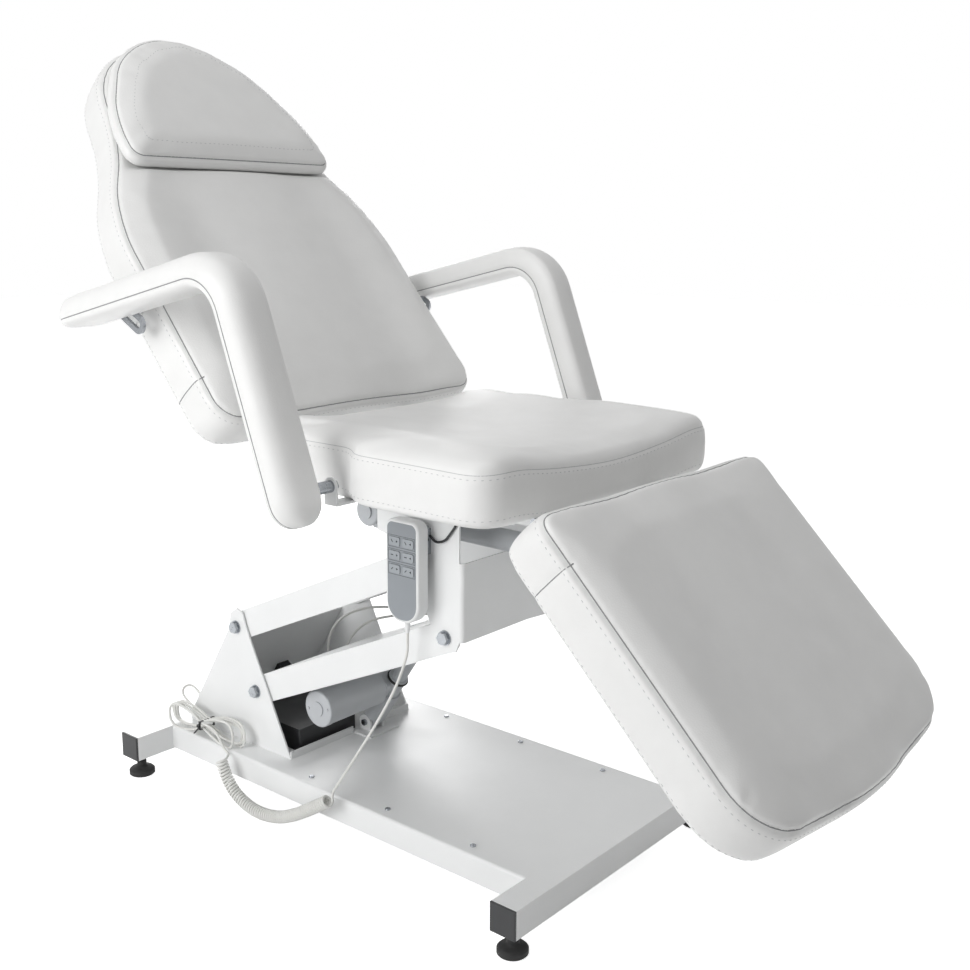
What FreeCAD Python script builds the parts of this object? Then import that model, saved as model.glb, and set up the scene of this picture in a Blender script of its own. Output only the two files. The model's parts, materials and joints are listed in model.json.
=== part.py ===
import FreeCAD, Part
import math
import os
from FreeCAD import Vector

# Electric treatment chair: levelling base, parallelogram lift, seat, reclining back, leg rest, armrests.
# +Z is up and the floor is z = 0. The foot end points to -Y, the head end to +Y, the width lies along X.
# Lengths are in millimetres. Y is counted from the middle of the base until the pieces are written.

ORIGIN_SHIFT_Y = 82.5

# Base
TUBE = 45.0
TUBE_WALL = 2.5
TUBE_LENGTH = 550.0
TUBE_SPACING = 880.0
DECK_TOP = 82.0
DECK_WIDTH = 390.0
DECK_SKIRT = 43.0
SHEET = 2.5
CAP_FACE = 4.0
FOOT_INSET = 25.0
FOOT_PAD_R = 23.0
STEM_R = 5.0

# Lift linkage, in the side view (Y, Z)
LOWER_REAR = (227.0, 186.0)
LINK_RISE = (49.0, 109.0)
ARM_LENGTH = 494.0
ARM_ANGLE = 24.3
ARM_DEPTH = 50.0
ARM_OUT = 145.0
PLATE_OUT = 150.0
PLATE = 3.0
PIVOT_R = 6.0
FIT = 0.1

# Lift actuator
CLEVIS = (128.0, 100.0)
ACTUATOR_X = 40.0
ACTUATOR_ANGLE = 34.56
ACTUATOR_REACH = 230.35
LIFT_PIN_ALONG = 252.0
ACTUATOR_TUBE_R = 17.0
ACTUATOR_NECK_R = 20.5
MOTOR_AXIS = (17.4, 85.5)
MOTOR_R = 32.0
ROD_R = 14.0
EYE_HOLE_R = 11.2

# Seat
SEAT_HALF = 286.0
SEAT_REAR_HALF = 263.0
SEAT_FRONT = -419.0
SEAT_REAR = 75.0
FRAME_LOW = 585.0
BOARD_LOW = 610.0
BOARD_THICK = 12.0
SEAT_SEAM = 702.0
CROWN = 12.0

# Leg rest, drawn lying flat about its hinge and then turned down
LEG_HINGE = (-403.0, 600.0)
LEG_ANGLE = 45.0
LEG_HALF = 286.0
LEG_NEAR = 27.0
LEG_FAR = 508.0
LEG_LOW = 18.0
LEG_SEAM = 100.0
LEG_LEVER = 75.0
LEG_LEVER_LEAN = 18.5

# Back, drawn lying flat about its hinge and then raised
BACK_HINGE = (118.0, 652.0)
BACK_ANGLE = 49.4
BACK_HALF = 300.0
BACK_NEAR = 24.0
BACK_FAR = 838.0
BACK_LOW = -31.0
BACK_SEAM = 48.6
BACK_LEVER = 100.0
BACK_LEVER_LEAN = 14.5
PILLOW_NEAR = 530.0
PILLOW_FAR = 842.0

# Armrests, in the side view
ARMREST_PIVOT = (-134.0, 634.0)
ARMREST_REAR = (375.0, 856.8)
ARMREST_CORNER = (-8.4, 945.7)
ARMREST_FOOT = (-136.7, 611.3)
ARMREST_IN = 328.0
ARMREST_WIDTH = 70.0
ARMREST_THICK = 52.0
ARMREST_BEND = 75.0
ARMREST_PIN = (300.0, 864.0)
ARMREST_TRAVEL = (-45.0, 43.0)

# Actuators under the seat
BACK_ROD_X = 50.0
LEG_ROD_X = -50.0
SEAT_ROD_R = 10.0

# Handset
HANDSET_Y = -169.0
HANDSET_LOW = 410.0
HANDSET_HIGH = 570.0
HANDSET_WIDTH = 68.0
HANDSET_TOP_R = 15.0
HANDSET_FOOT_R = 31.0
HANDSET_REAR_X = -163.0
HANDSET_THICK = 24.0
KEY_SIZE = (22.0, 13.0)
KEY_ROWS = (536.0, 514.5, 493.0)
KEY_PITCH = 28.0
HOLDER_LOW = 492.0
HOLDER_HIGH = 562.0
HOLDER_HALF = 31.0
HOLDER_X = -162.7
HOLDER_THICK = 2.0
HOOK_R = 1.9
HOOK_ROUTE = [(-154, -196.5, 545), (-154, -208, 536), (-153.5, -226, 541), (-153, -246, 566),
              (-152, -252, 582)]

# Handset cord
WIRE_R = 2.3
CURL_R = 8.8
CURL_TURNS = 56
CURL_START = 0.125
CURL_ROUTE = [(-225, 236, 78), (-225, 222, 40), (-225, 165, 10), (-225, 95, 14),
              (-225, 25, 47), (-225, -38, 90)]
HANK_MIDDLE = Vector(-166, 336, 104)
HANK_LOOPS = 4
HANK_STEP = 6.0
HANK_REACH = 104.0
HANK_RISE = 18.0
HANK_WAIST = 4.0
GLAND_BASE = (408.2, 112.0)
GLAND_X = -125.0
GLAND_TILT = 32.25
TAIL_ROUTE = [(-125, 425.1, 122.7), (-125, 443, 134), (-140, 456, 135), (-155, 440, 124),
              (-156, 398, 111), (-166, 358, 108)]
LEAD_ROUTE_TOP = [(-175, -169, 392), (-175, -169, 370)]
LEAD_END_GAP = 0.8
LINK_ROUTE = [(-190, 304, 108), (-196, 277, 97)]
LEAD_R = 2.5
LEAD_ROUTES = [
    (70.0, [(-50, -43), (-54, -8), (-42, 35), (-8, 68), (45, 82), (105, 80), (165, 68), (225, 50),
            (285, 34), (345, 28)]),
    (95.0, [(-46, -45), (-44, -15), (-22, 20), (18, 45), (70, 56), (130, 52), (190, 41), (250, 31),
            (310, 28)]),
]


def box(x0, x1, y0, y1, z0, z1):
    return Part.makeBox(x1 - x0, y1 - y0, z1 - z0, Vector(x0, y0, z0))


def rod_x(radius, x0, x1, y, z):
    return Part.makeCylinder(radius, x1 - x0, Vector(x0, y, z), Vector(1, 0, 0))


def rod_y(radius, y0, y1, x, z):
    return Part.makeCylinder(radius, y1 - y0, Vector(x, y0, z), Vector(0, 1, 0))


def rod_z(radius, z0, z1, x, y):
    return Part.makeCylinder(radius, z1 - z0, Vector(x, y, z0), Vector(0, 0, 1))


def prism_x(outline, x0, x1):
    corners = [Vector(x0, y, z) for y, z in outline]
    face = Part.Face(Part.makePolygon(corners + corners[:1]))
    return face.extrude(Vector(x1 - x0, 0, 0))


def hex_x(across, x0, x1, y, z):
    radius = across / math.sqrt(3.0)
    turns = [math.radians(60 * i) for i in range(6)]
    return prism_x([(y + radius * math.cos(t), z + radius * math.sin(t)) for t in turns], x0, x1)


def strap_x(a, b, radius, x0, x1):
    """A flat link with round ends between two points of the side view."""
    along = Vector(0, b[0] - a[0], b[1] - a[1])
    side = Vector(0, -along.z, along.y).normalize().multiply(radius)
    corners = [(a[0] + side.y, a[1] + side.z), (a[0] - side.y, a[1] - side.z),
               (b[0] - side.y, b[1] - side.z), (b[0] + side.y, b[1] + side.z)]
    return joined([prism_x(corners, x0, x1), rod_x(radius, x0, x1, *a), rod_x(radius, x0, x1, *b)])


def mirrored(shape):
    return shape.mirror(Vector(0, 0, 0), Vector(1, 0, 0))


def pair(shape):
    return [shape, mirrored(shape)]


def joined(shapes):
    if len(shapes) == 1:
        return shapes[0]
    return shapes[0].fuse(shapes[1:]).removeSplitter()


def without(shape, cutters):
    return shape.cut(cutters)


def group(shapes):
    return Part.makeCompound(shapes)


def turned(shape, angle, pivot):
    """A piece drawn flat about the origin, turned about X and set on its pivot."""
    copy = shape.copy()
    copy.rotate(Vector(0, 0, 0), Vector(1, 0, 0), angle)
    copy.translate(Vector(0, pivot[0], pivot[1]))
    return copy


def square_tube_x(x0, x1, y, z, side, wall):
    half = side / 2
    inner = half - wall
    outer = box(x0, x1, y - half, y + half, z - half, z + half)
    return outer.cut(box(x0 - 1, x1 + 1, y - inner, y + inner, z - inner, z + inner))


def square_tube_y(y0, y1, x, z, side, wall):
    half = side / 2
    inner = half - wall
    outer = box(x - half, x + half, y0, y1, z - half, z + half)
    return outer.cut(box(x - inner, x + inner, y0 - 1, y1 + 1, z - inner, z + inner))


def mirrored_wire(start, half, z):
    """A closed outline from its right half: lines and arcs from the near middle to the far middle."""
    edges = []
    at = start
    for step in half:
        end = step[-1]
        for sign in (1, -1):
            points = [Vector(sign * x, y, z) for x, y in (at,) + tuple(step)]
            if len(points) == 2:
                edges.append(Part.makeLine(points[0], points[1]))
            else:
                edges.append(Part.Arc(points[0], points[1], points[2]).toShape())
        at = end
    return Part.Wire(Part.__sortEdges__(edges))


def padded(outline, low, seam, crown):
    """A boxed cushion: drawn in at its foot and seam, with a crowned top."""
    rows = [(5.0, low), (0.0, low + 0.45 * (seam - low)), (2.5, seam), (24.0, seam + 0.65 * crown),
            (64.0, seam + crown)]
    return Part.makeLoft([outline(inset, z) for inset, z in rows], True, False)


def corner_mid(centre, radius, across, along):
    reach = radius * math.sqrt(0.5)
    return (centre[0] + across * reach, centre[1] + along * reach)


# Base

def cross_tube(y):
    z = DECK_TOP - TUBE / 2
    reach = TUBE_LENGTH / 2 - CAP_FACE
    foot_x = TUBE_LENGTH / 2 - FOOT_INSET
    tube = square_tube_x(-reach, reach, y, z, TUBE, TUBE_WALL)
    low = DECK_TOP - TUBE
    nuts = [rod_z(9.0, low + TUBE_WALL, low + TUBE_WALL + 8, s * foot_x, y) for s in (1, -1)]
    holes = [rod_z(STEM_R + FIT, low - 1, low + 20, s * foot_x, y) for s in (1, -1)]
    return without(joined([tube] + nuts), holes)


def end_caps():
    caps = []
    for y in (-TUBE_SPACING / 2, TUBE_SPACING / 2):
        z = DECK_TOP - TUBE / 2
        half = TUBE / 2
        plug = half - TUBE_WALL - 0.05
        reach = TUBE_LENGTH / 2
        face = box(reach - CAP_FACE, reach, y - half, y + half, z - half, z + half)
        edges = [e for e in face.Edges if e.BoundBox.XMin > reach - 0.1]
        face = face.makeFillet(1.5, edges)
        core = box(reach - CAP_FACE - 10, reach - CAP_FACE, y - plug, y + plug, z - plug, z + plug)
        room = plug - 3
        hollow = box(reach - CAP_FACE - 11, reach - CAP_FACE, y - room, y + room, z - room, z + room)
        caps += pair(joined([face, core.cut(hollow)]))
    return group(caps)


def levelling_foot(x, y):
    profile = [(0, 0), (FOOT_PAD_R - 2, 0), (FOOT_PAD_R, 2), (FOOT_PAD_R, 9), (FOOT_PAD_R - 3, 12), (11, 15),
               (8.5, 17), (8.5, 26), (STEM_R, 26), (STEM_R, 68), (STEM_R - 1, 69), (0, 69)]
    points = [Vector(r, 0, z) for r, z in profile]
    face = Part.Face(Part.makePolygon(points + points[:1]))
    foot = face.revolve(Vector(0, 0, 0), Vector(0, 0, 1), 360)
    foot.translate(Vector(x, y, 0))
    return foot


DECK_SCREWS = [(s * 172.0, y) for s in (1, -1) for y in (-300.0, -120.0, 60.0)]


def deck():
    half = DECK_WIDTH / 2
    reach = TUBE_SPACING / 2 - TUBE / 2
    low = DECK_TOP - DECK_SKIRT
    outer = box(-half, half, -reach, reach, low, DECK_TOP)
    ridge = [e for e in outer.Edges if e.BoundBox.ZMin > DECK_TOP - 0.1 and e.BoundBox.YLength > reach]
    outer = outer.makeFillet(5.0, ridge)
    inner = box(-half + SHEET, half - SHEET, -reach - 1, reach + 1, low - 1, DECK_TOP - SHEET)
    holes = [rod_z(2.6, DECK_TOP - 20, DECK_TOP + 1, x, y) for x, y in DECK_SCREWS]
    return without(outer, [inner] + holes)


def upper(point):
    return (point[0] + LINK_RISE[0], point[1] + LINK_RISE[1])


def arm_point(along, normal=0.0):
    """A point of the lower arm in the side view, from its rear pivot."""
    angle = math.radians(ARM_ANGLE)
    return (LOWER_REAR[0] - along * math.cos(angle) + normal * math.sin(angle),
            LOWER_REAR[1] + along * math.sin(angle) + normal * math.cos(angle))


LOWER_FRONT = arm_point(ARM_LENGTH)
UPPER_REAR = upper(LOWER_REAR)
UPPER_FRONT = upper(LOWER_FRONT)


def pivot_bolt(y, z):
    """Hex bolt, washer and nut of one pivot on the -X side."""
    out = -PLATE_OUT
    washer = rod_x(12.0, out - 2.0, out, y, z)
    head = hex_x(18.0, out - 9.0, out - 2.0, y, z)
    shank = rod_x(PIVOT_R, out - 2.0, out + 26.0, y, z)
    nut = hex_x(18.0, out + 12.0, out + 21.0, y, z)
    return joined([washer, head, shank, nut])


def base_fasteners():
    bolts = []
    for y, z in (LOWER_REAR, UPPER_REAR):
        bolts += pair(pivot_bolt(y, z))
    for x, y in DECK_SCREWS:
        head = rod_z(4.6, DECK_TOP, DECK_TOP + 2.4, x, y)
        head = head.makeFillet(1.2, [head.Edges[0]])
        bolts.append(joined([head, rod_z(2.5, DECK_TOP - 10, DECK_TOP, x, y)]))
    y, z = CLEVIS
    pin = rod_x(PIVOT_R, ACTUATOR_X - 22, ACTUATOR_X + 22, y, z)
    pin_head = rod_x(9.0, ACTUATOR_X + 22, ACTUATOR_X + 26, y, z)
    return group(bolts + [joined([pin, pin_head])])


BRACKET_OUTLINE = [(138, 82), (417, 82), (417, 98), (297, 288), (291, 318), (273, 331), (258, 325),
                   (249, 300)]
BRACKET_WEB = [(417, 98), (319.2, 253), (316.7, 251.4), (414.5, 96.4)]
INLET_SPOT = (389.6, 141.4)


def lift_bracket():
    plates = pair(prism_x(BRACKET_OUTLINE, -PLATE_OUT, -PLATE_OUT + PLATE))
    inner = PLATE_OUT - PLATE / 2
    web = prism_x(BRACKET_WEB, -inner, inner)
    lip = box(-inner, inner, 138, 141, DECK_TOP, DECK_TOP + 13)
    lip = lip.cut(box(ACTUATOR_X - 38, ACTUATOR_X + 38, 130, 150, DECK_TOP, DECK_TOP + 20))
    flanges = pair(box(-PLATE_OUT, -PLATE_OUT + 26, 145, 410, DECK_TOP, DECK_TOP + PLATE))
    folded = joined(plates + [web, lip] + flanges)
    holes = [rod_x(PIVOT_R + FIT, -200, 200, y, z) for y, z in (LOWER_REAR, UPPER_REAR)]
    gland = gland_cylinder(5.2, -12, 12)
    inlet = turned(box(30, 58, -12, 12, -6, 6), -57.6, INLET_SPOT)
    return without(folded, holes + [gland, inlet])


def gland_way():
    tilt = math.radians(GLAND_TILT)
    return Vector(0, math.cos(tilt), math.sin(tilt))


def gland_cylinder(radius, start, end):
    """A cylinder square to the bracket's sloping rear sheet, about the cord's way out."""
    lean = gland_way()
    base = Vector(GLAND_X, GLAND_BASE[0], GLAND_BASE[1]) + lean * start
    return Part.makeCylinder(radius, end - start, base, lean)


def cord_gland():
    lean = gland_way()
    base = Vector(GLAND_X, GLAND_BASE[0], GLAND_BASE[1])
    cone = Part.makeCone(6.5, 3.8, 15.0, base + lean * 5.0, lean)
    body = joined([gland_cylinder(8.5, 1.2, 5.0), gland_cylinder(5.1, -10, 5.0), cone])
    return body.cut(gland_cylinder(WIRE_R + 0.1, 15, 21))


def mains_inlet():
    shell = joined([box(26, 62, -15, 15, 1.6, 4.4), box(30.2, 57.8, -11.8, 11.8, -24, 2)])
    socket = box(32.5, 55.5, -8.5, 8.5, -18, 5)
    pins = [box(x - 1, x + 1, -2.5, 2.5, -19, -3) for x in (37.0, 44.0, 51.0)]
    return turned(joined([shell.cut(socket)] + pins), -57.6, INLET_SPOT)


def control_box():
    outer = box(-118, 20, 150, 300, DECK_TOP, DECK_TOP + 42)
    outer = outer.makeFillet(4.0, [e for e in outer.Edges if e.BoundBox.ZLength > 20])
    return outer.cut(box(-115, 17, 153, 297, DECK_TOP + 3, DECK_TOP + 39))


def lift_clevis():
    y, z = CLEVIS
    plate = box(ACTUATOR_X - 36, ACTUATOR_X + 36, y - 34, y + 20, DECK_TOP, DECK_TOP + PLATE)
    ears = [joined([box(x, x + 5, y - 14, y + 14, DECK_TOP, z), rod_x(14.0, x, x + 5, y, z)])
            for x in (ACTUATOR_X - 18, ACTUATOR_X + 13)]
    holes = [rod_x(PIVOT_R, 0, 100, y, z)]
    return without(joined([plate] + ears), holes)


# Lift arms, drawn level about the rear pivot, pointing to -Y

def arm(web_end, web_cuts, extras):
    half = ARM_DEPTH / 2
    flange = strap_x((0, 0), (-ARM_LENGTH, 0), half, -ARM_OUT, -ARM_OUT + PLATE)
    web = box(-ARM_OUT, ARM_OUT, -web_end, -38, half - PLATE, half)
    body = joined(pair(flange) + [without(web, web_cuts) if web_cuts else web] + extras)
    holes = [rod_x(PIVOT_R + FIT, -200, 200, y, 0) for y in (0, -ARM_LENGTH)]
    return without(body, holes)


def lower_arm():
    half = ARM_DEPTH / 2
    y = -LIFT_PIN_ALONG
    window = box(ACTUATOR_X - 15, ACTUATOR_X + 15, y - 34, y + 34, 0, half + 5)
    outline = [(y - 30, half - 1), (y - 12, -12), (y + 12, -12), (y + 30, half - 1)]
    ears = [prism_x(outline, x, x + 4) for x in (ACTUATOR_X - 19, ACTUATOR_X + 15)]
    pin = rod_x(PIVOT_R, ACTUATOR_X - 19, ACTUATOR_X + 19, y, 0)
    return turned(arm(430, [window], ears + [pin]), -ARM_ANGLE, LOWER_REAR)


def upper_arm():
    return turned(arm(250, [], []), -ARM_ANGLE, UPPER_REAR)


def arm_space(x, along, normal):
    y, z = arm_point(along, normal)
    return Vector(x, y, z)


def motor_leads():
    tubes = []
    for x, route in LEAD_ROUTES:
        points = [arm_space(x + 2.0 * (i % 2), a, n) for i, (a, n) in enumerate(route)]
        tubes.append(cord_tube(points, LEAD_R, "motor lead"))
    return group(tubes)


# Lift actuator, drawn upright about its clevis pin

def actuator_turned(shape):
    return turned(shape, ACTUATOR_ANGLE, CLEVIS)


def lift_gearbox():
    x = ACTUATOR_X
    lug = joined([rod_x(14.0, x - 12, x + 12, 0, 0), box(x - 12, x + 12, -14, 14, 0, 20)])
    neck = rod_z(ACTUATOR_NECK_R, 16, 84, x, 0)
    block = box(x - 28, x + 22, -8, 48, 56, 114)
    block = block.makeFillet(9.0, [e for e in block.Edges if e.BoundBox.XLength > 40])
    body = joined([lug, neck, block])
    return without(body, [rod_x(PIVOT_R + FIT, 0, 100, 0, 0), rod_z(ACTUATOR_TUBE_R, 24, 122, x, 0)])


def lift_motor():
    centre = MOTOR_AXIS
    can = rod_x(MOTOR_R, -112, ACTUATOR_X - 28, *centre)
    bell = rod_x(MOTOR_R + 1, -124, -112, *centre)
    bell = bell.makeFillet(3.0, [e for e in bell.Edges if e.BoundBox.XMax < -123])
    hub = rod_x(13.0, -126, -124, *centre)
    screws = [rod_x(2.6, -125.2, -124, centre[0] + s * 17, centre[1] - s * 17) for s in (1, -1)]
    return actuator_turned(joined([can, bell, hub] + screws))


def lift_outer_tube():
    tube = joined([rod_z(ACTUATOR_TUBE_R, 24, 122, ACTUATOR_X, 0),
                   rod_z(ACTUATOR_TUBE_R + 1.3, 115, 124, ACTUATOR_X, 0)])
    return actuator_turned(tube.cut(rod_z(ROD_R + 0.1, 25.5, 126, ACTUATOR_X, 0)))


def lift_rod():
    x = ACTUATOR_X
    shaft = rod_z(ROD_R, ACTUATOR_REACH - 163, ACTUATOR_REACH - 14, x, 0)
    eye = rod_x(18.0, x - 11, x + 11, 0, ACTUATOR_REACH)
    body = joined([shaft, eye])
    return actuator_turned(body.cut(rod_x(EYE_HOLE_R, 0, 100, 0, ACTUATOR_REACH)))


# Seat

PEDESTAL_FRONT = -258.0
PEDESTAL_FOLD = 7.0
PEDESTAL_FACE_LOW = 387.0
PEDESTAL_FACE_TOP = 510.0
FOLD_Y = PEDESTAL_FRONT + PEDESTAL_FOLD
PEDESTAL_OUTLINE = [(FOLD_Y, 387), (-245, 371), (-225, 364), (-206, 372), (-200, 390), (-148, 500),
                    (-120, 528), (-82, 534), (-82, 585), (FOLD_Y, 585)]


def seat_pedestal():
    plates = pair(prism_x(PEDESTAL_OUTLINE, -PLATE_OUT, -PLATE_OUT + PLATE))
    inner = PLATE_OUT - PEDESTAL_FOLD
    face = box(-inner, inner, PEDESTAL_FRONT, PEDESTAL_FRONT + PLATE, PEDESTAL_FACE_LOW, PEDESTAL_FACE_TOP)
    ring = rod_z(PEDESTAL_FOLD, PEDESTAL_FACE_LOW, PEDESTAL_FACE_TOP, -inner, FOLD_Y)
    ring = ring.cut(rod_z(PEDESTAL_FOLD - PLATE, PEDESTAL_FACE_LOW, PEDESTAL_FACE_TOP, -inner, FOLD_Y))
    quarter = box(-PLATE_OUT, -inner, PEDESTAL_FRONT, FOLD_Y, PEDESTAL_FACE_LOW, PEDESTAL_FACE_TOP)
    folds = pair(ring.common(quarter))
    flanges = pair(box(-PLATE_OUT, -PLATE_OUT + 30, FOLD_Y, -82, FRAME_LOW - PLATE, FRAME_LOW))
    folded = joined(plates + [face] + folds + flanges)
    return without(folded, [rod_x(PIVOT_R, -200, 200, y, z) for y, z in (LOWER_FRONT, UPPER_FRONT)])


def hinge_pin(y, z):
    """Headed pin through the two lugs of a hinge on the -X side."""
    return joined([rod_x(4.0, -165, -146, y, z), rod_x(7.0, -168, -165, y, z), rod_x(6.0, -146, -144, y, z)])


def armrest_bolt():
    y, z = ARMREST_PIVOT
    shank = rod_x(5.0, -ARMREST_IN - 9, -292, y, z)
    head = hex_x(15.0, -293, -287, y, z)
    spacer = rod_x(9.0, -ARMREST_IN + 0.3, -296, y, z)
    return joined([shank, head, spacer])


def seat_pivot_bolts():
    bolts = []
    for y, z in (LOWER_FRONT, UPPER_FRONT):
        bolts += pair(pivot_bolt(y, z))
    for y, z in (LEG_HINGE, BACK_HINGE):
        bolts += pair(hinge_pin(y, z))
    bolts += pair(armrest_bolt())
    return group(bolts)


FRAME_MIDDLE = (FRAME_LOW + BOARD_LOW) / 2
FRAME_TUBE = BOARD_LOW - FRAME_LOW
FRAME_X = 135.0
FRAME_FRONT_BAR = -335.0
BACK_LUG = [(60, 586), (104, 586), (129, 648), (118, 664), (106, 657), (88, 609), (60, 609)]


def rod_height(hinge, lever, lean):
    return hinge[1] - lever * math.cos(math.radians(lean))


BACK_ROD_Z = rod_height(BACK_HINGE, BACK_LEVER, BACK_LEVER_LEAN)
LEG_ROD_Z = rod_height(LEG_HINGE, LEG_LEVER, LEG_LEVER_LEAN)
BACK_EYE_Y = BACK_HINGE[0] + BACK_LEVER * math.sin(math.radians(BACK_LEVER_LEAN))
LEG_EYE_Y = LEG_HINGE[0] + LEG_LEVER * math.sin(math.radians(LEG_LEVER_LEAN))
BACK_BODY_PIN = -204.5
LEG_BODY_PIN = 20.5


def actuator_ears(x, y, z):
    plates = [joined([box(a, a + 4, y - 10, y + 10, z, FRAME_LOW + 1), rod_x(10.0, a, a + 4, y, z)])
              for a in (x - 18, x + 14)]
    return plates + [rod_x(5.0, x - 18, x + 18, y, z)]


def seat_frame():
    rails = pair(square_tube_y(-352, 104, -FRAME_X, FRAME_MIDDLE, FRAME_TUBE, 2.0))
    bars = [square_tube_x(-FRAME_X, FRAME_X, y, FRAME_MIDDLE, FRAME_TUBE, 2.0)
            for y in (FRAME_FRONT_BAR, BACK_BODY_PIN, LEG_BODY_PIN)]
    edge = -FRAME_X - FRAME_TUBE / 2
    lugs = pair(prism_x(BACK_LUG, edge - 6, edge))
    leg_lug = strap_x((-388, 600), LEG_HINGE, 9.0, edge - 6, edge)
    lugs += pair(joined([leg_lug, box(edge - 6, edge, -388, -300, 590, 609)]))
    ears = actuator_ears(BACK_ROD_X, BACK_BODY_PIN, BACK_ROD_Z)
    ears += actuator_ears(LEG_ROD_X, LEG_BODY_PIN, LEG_ROD_Z)
    body = joined(rails + bars + lugs + ears)
    return without(body, [rod_x(4.0, -250, 250, y, z) for y, z in (LEG_HINGE, BACK_HINGE)])


def seat_outline(inset, z):
    w = SEAT_HALF - inset
    n = SEAT_REAR_HALF - inset
    low = SEAT_FRONT + inset
    high = SEAT_REAR - inset
    front_r = 44.0
    rear_r = 30.0
    half = [((0.5 * w, low + 2.0), (w - front_r, low)),
            (corner_mid((w - front_r, low + front_r), front_r, 1, -1), (w, low + front_r)),
            ((w - 2.5, -270), (w, -172)),
            ((n, -146),),
            ((n - 2.0, -40), (n, high - rear_r)),
            (corner_mid((n - rear_r, high - rear_r), rear_r, 1, 1), (n - rear_r, high)),
            ((0, high),)]
    return mirrored_wire((0, low), half, z)


def seat_board():
    return box(-238, 238, -388, 48, BOARD_LOW, BOARD_LOW + BOARD_THICK)


def seat_cushion():
    return padded(seat_outline, BOARD_LOW, SEAT_SEAM, CROWN).cut(seat_board())


def armrest_brackets():
    y, z = ARMREST_PIVOT
    plate = joined([box(-296, -293, y - 13, y + 13, BOARD_LOW - 4, z), rod_x(13.0, -296, -293, y, z)])
    shelf = box(-296, -200, y - 13, y + 13, BOARD_LOW - 4, BOARD_LOW - 0.2)
    return group(pair(joined([plate, shelf]).cut(rod_x(5.0, -320, -280, y, z))))


def seat_actuator(x, pin_y, z, toward, reach, motor_side):
    """Housing, tube and motor of an actuator under the seat; toward is the rod's way along Y."""
    def span(a, b):
        ends = sorted((pin_y + toward * a, pin_y + toward * b))
        return ends[0], ends[1]
    n0, n1 = span(0, 18)
    lug = joined([rod_x(9.5, x - 13, x + 13, pin_y, z), box(x - 13, x + 13, n0, n1, z - 9.5, z + 9.5)])
    y0, y1 = span(14, 54)
    case = box(x - 22, x + 22, y0, y1, z - 22, z + 22)
    case = case.makeFillet(7.0, [e for e in case.Edges if e.BoundBox.YLength > 30])
    t0, t1 = span(50, reach)
    tube = rod_y(17.0, t0, t1, x, z)
    body = joined([lug, case, tube])
    bore0, bore1 = span(63, reach + 2)
    bore = rod_y(SEAT_ROD_R + 0.1, bore0, bore1, x, z)
    body = without(body, [bore, rod_x(5.1, x - 30, x + 30, pin_y, z)])
    if motor_side == "along":
        m0, m1 = span(10, 128)
        motor = joined([rod_y(26.0, m0, m1, x + 54, z), box(x + 20, x + 54, y0, y1, z - 18, z + 18)])
        return group([body, motor.cut(body)])
    middle = pin_y + toward * 34
    can = rod_x(25.0, x - 56, x - 21, middle, z + 16)
    motor = joined([can.makeFillet(4.0, [can.Edges[2]]), rod_x(12.0, x - 59, x - 55, middle, z + 16)])
    return group([body, motor.cut(body)])


def seat_rod(x, eye_y, z, toward, length):
    ends = sorted((eye_y - toward * 8, eye_y - toward * length))
    shaft = rod_y(SEAT_ROD_R, ends[0], ends[1], x, z)
    block = box(x - 10, x + 10, eye_y - 9, eye_y + 9, z - 9, z + 9)
    eye = joined([block, rod_x(5.0, x - 24, x + 24, eye_y, z)])
    return joined([shaft, eye])


# Handset

def handset_slab(x0, x1, inset):
    half = HANDSET_WIDTH / 2 - inset
    slab = box(x0, x1, HANDSET_Y - half, HANDSET_Y + half, HANDSET_LOW + inset, HANDSET_HIGH - inset)
    upright = [e for e in slab.Edges if e.BoundBox.XLength > (x1 - x0) * 0.9]
    middle = (HANDSET_LOW + HANDSET_HIGH) / 2
    slab = slab.makeFillet(HANDSET_TOP_R - inset, [e for e in upright if e.BoundBox.ZMin > middle])
    foot = [e for e in slab.Edges if e.BoundBox.XLength > (x1 - x0) * 0.9
            and e.BoundBox.ZMax < HANDSET_LOW + inset + 1]
    return slab.makeFillet(HANDSET_FOOT_R - inset, foot)


HANDSET_SPLIT = HANDSET_REAR_X - 11.0
HANDSET_FRONT = HANDSET_REAR_X - HANDSET_THICK
FACE_DEEP = 0.8


def handset_back_shell():
    slab = handset_slab(HANDSET_SPLIT, HANDSET_REAR_X, 0)
    rim = [e for e in slab.Edges if e.BoundBox.XMin > HANDSET_REAR_X - 0.1]
    return slab.makeFillet(5.0, rim).cut(handset_slab(HANDSET_SPLIT - 1, HANDSET_REAR_X - 2, 2.2))


def key_centres():
    return [(HANDSET_Y + s * KEY_PITCH / 2, z) for z in KEY_ROWS for s in (1, -1)]


def key_block(centre, grow, x0, x1):
    y, z = centre
    w = KEY_SIZE[0] / 2 + grow
    h = KEY_SIZE[1] / 2 + grow
    block = box(x0, x1, y - w, y + w, z - h, z + h)
    return block.makeFillet(3.0, [e for e in block.Edges if e.BoundBox.XLength > (x1 - x0) * 0.9])


def handset_front_shell():
    slab = handset_slab(HANDSET_FRONT, HANDSET_SPLIT, 0)
    rim = [e for e in slab.Edges if e.BoundBox.XMax < HANDSET_FRONT + 0.1]
    slab = slab.makeFillet(4.0, rim)
    inner = handset_slab(HANDSET_FRONT + 2.2, HANDSET_SPLIT + 1, 2.2)
    recess = handset_slab(HANDSET_FRONT - 1, HANDSET_FRONT + FACE_DEEP, 4.5)
    holes = [key_block(c, 0.35, HANDSET_FRONT - 1, HANDSET_SPLIT) for c in key_centres()]
    return without(slab, [inner, recess] + holes)


def handset_face():
    panel = handset_slab(HANDSET_FRONT, HANDSET_FRONT + FACE_DEEP, 4.5)
    return without(panel, [key_block(c, 0.35, HANDSET_FRONT - 1, HANDSET_SPLIT) for c in key_centres()])


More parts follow.
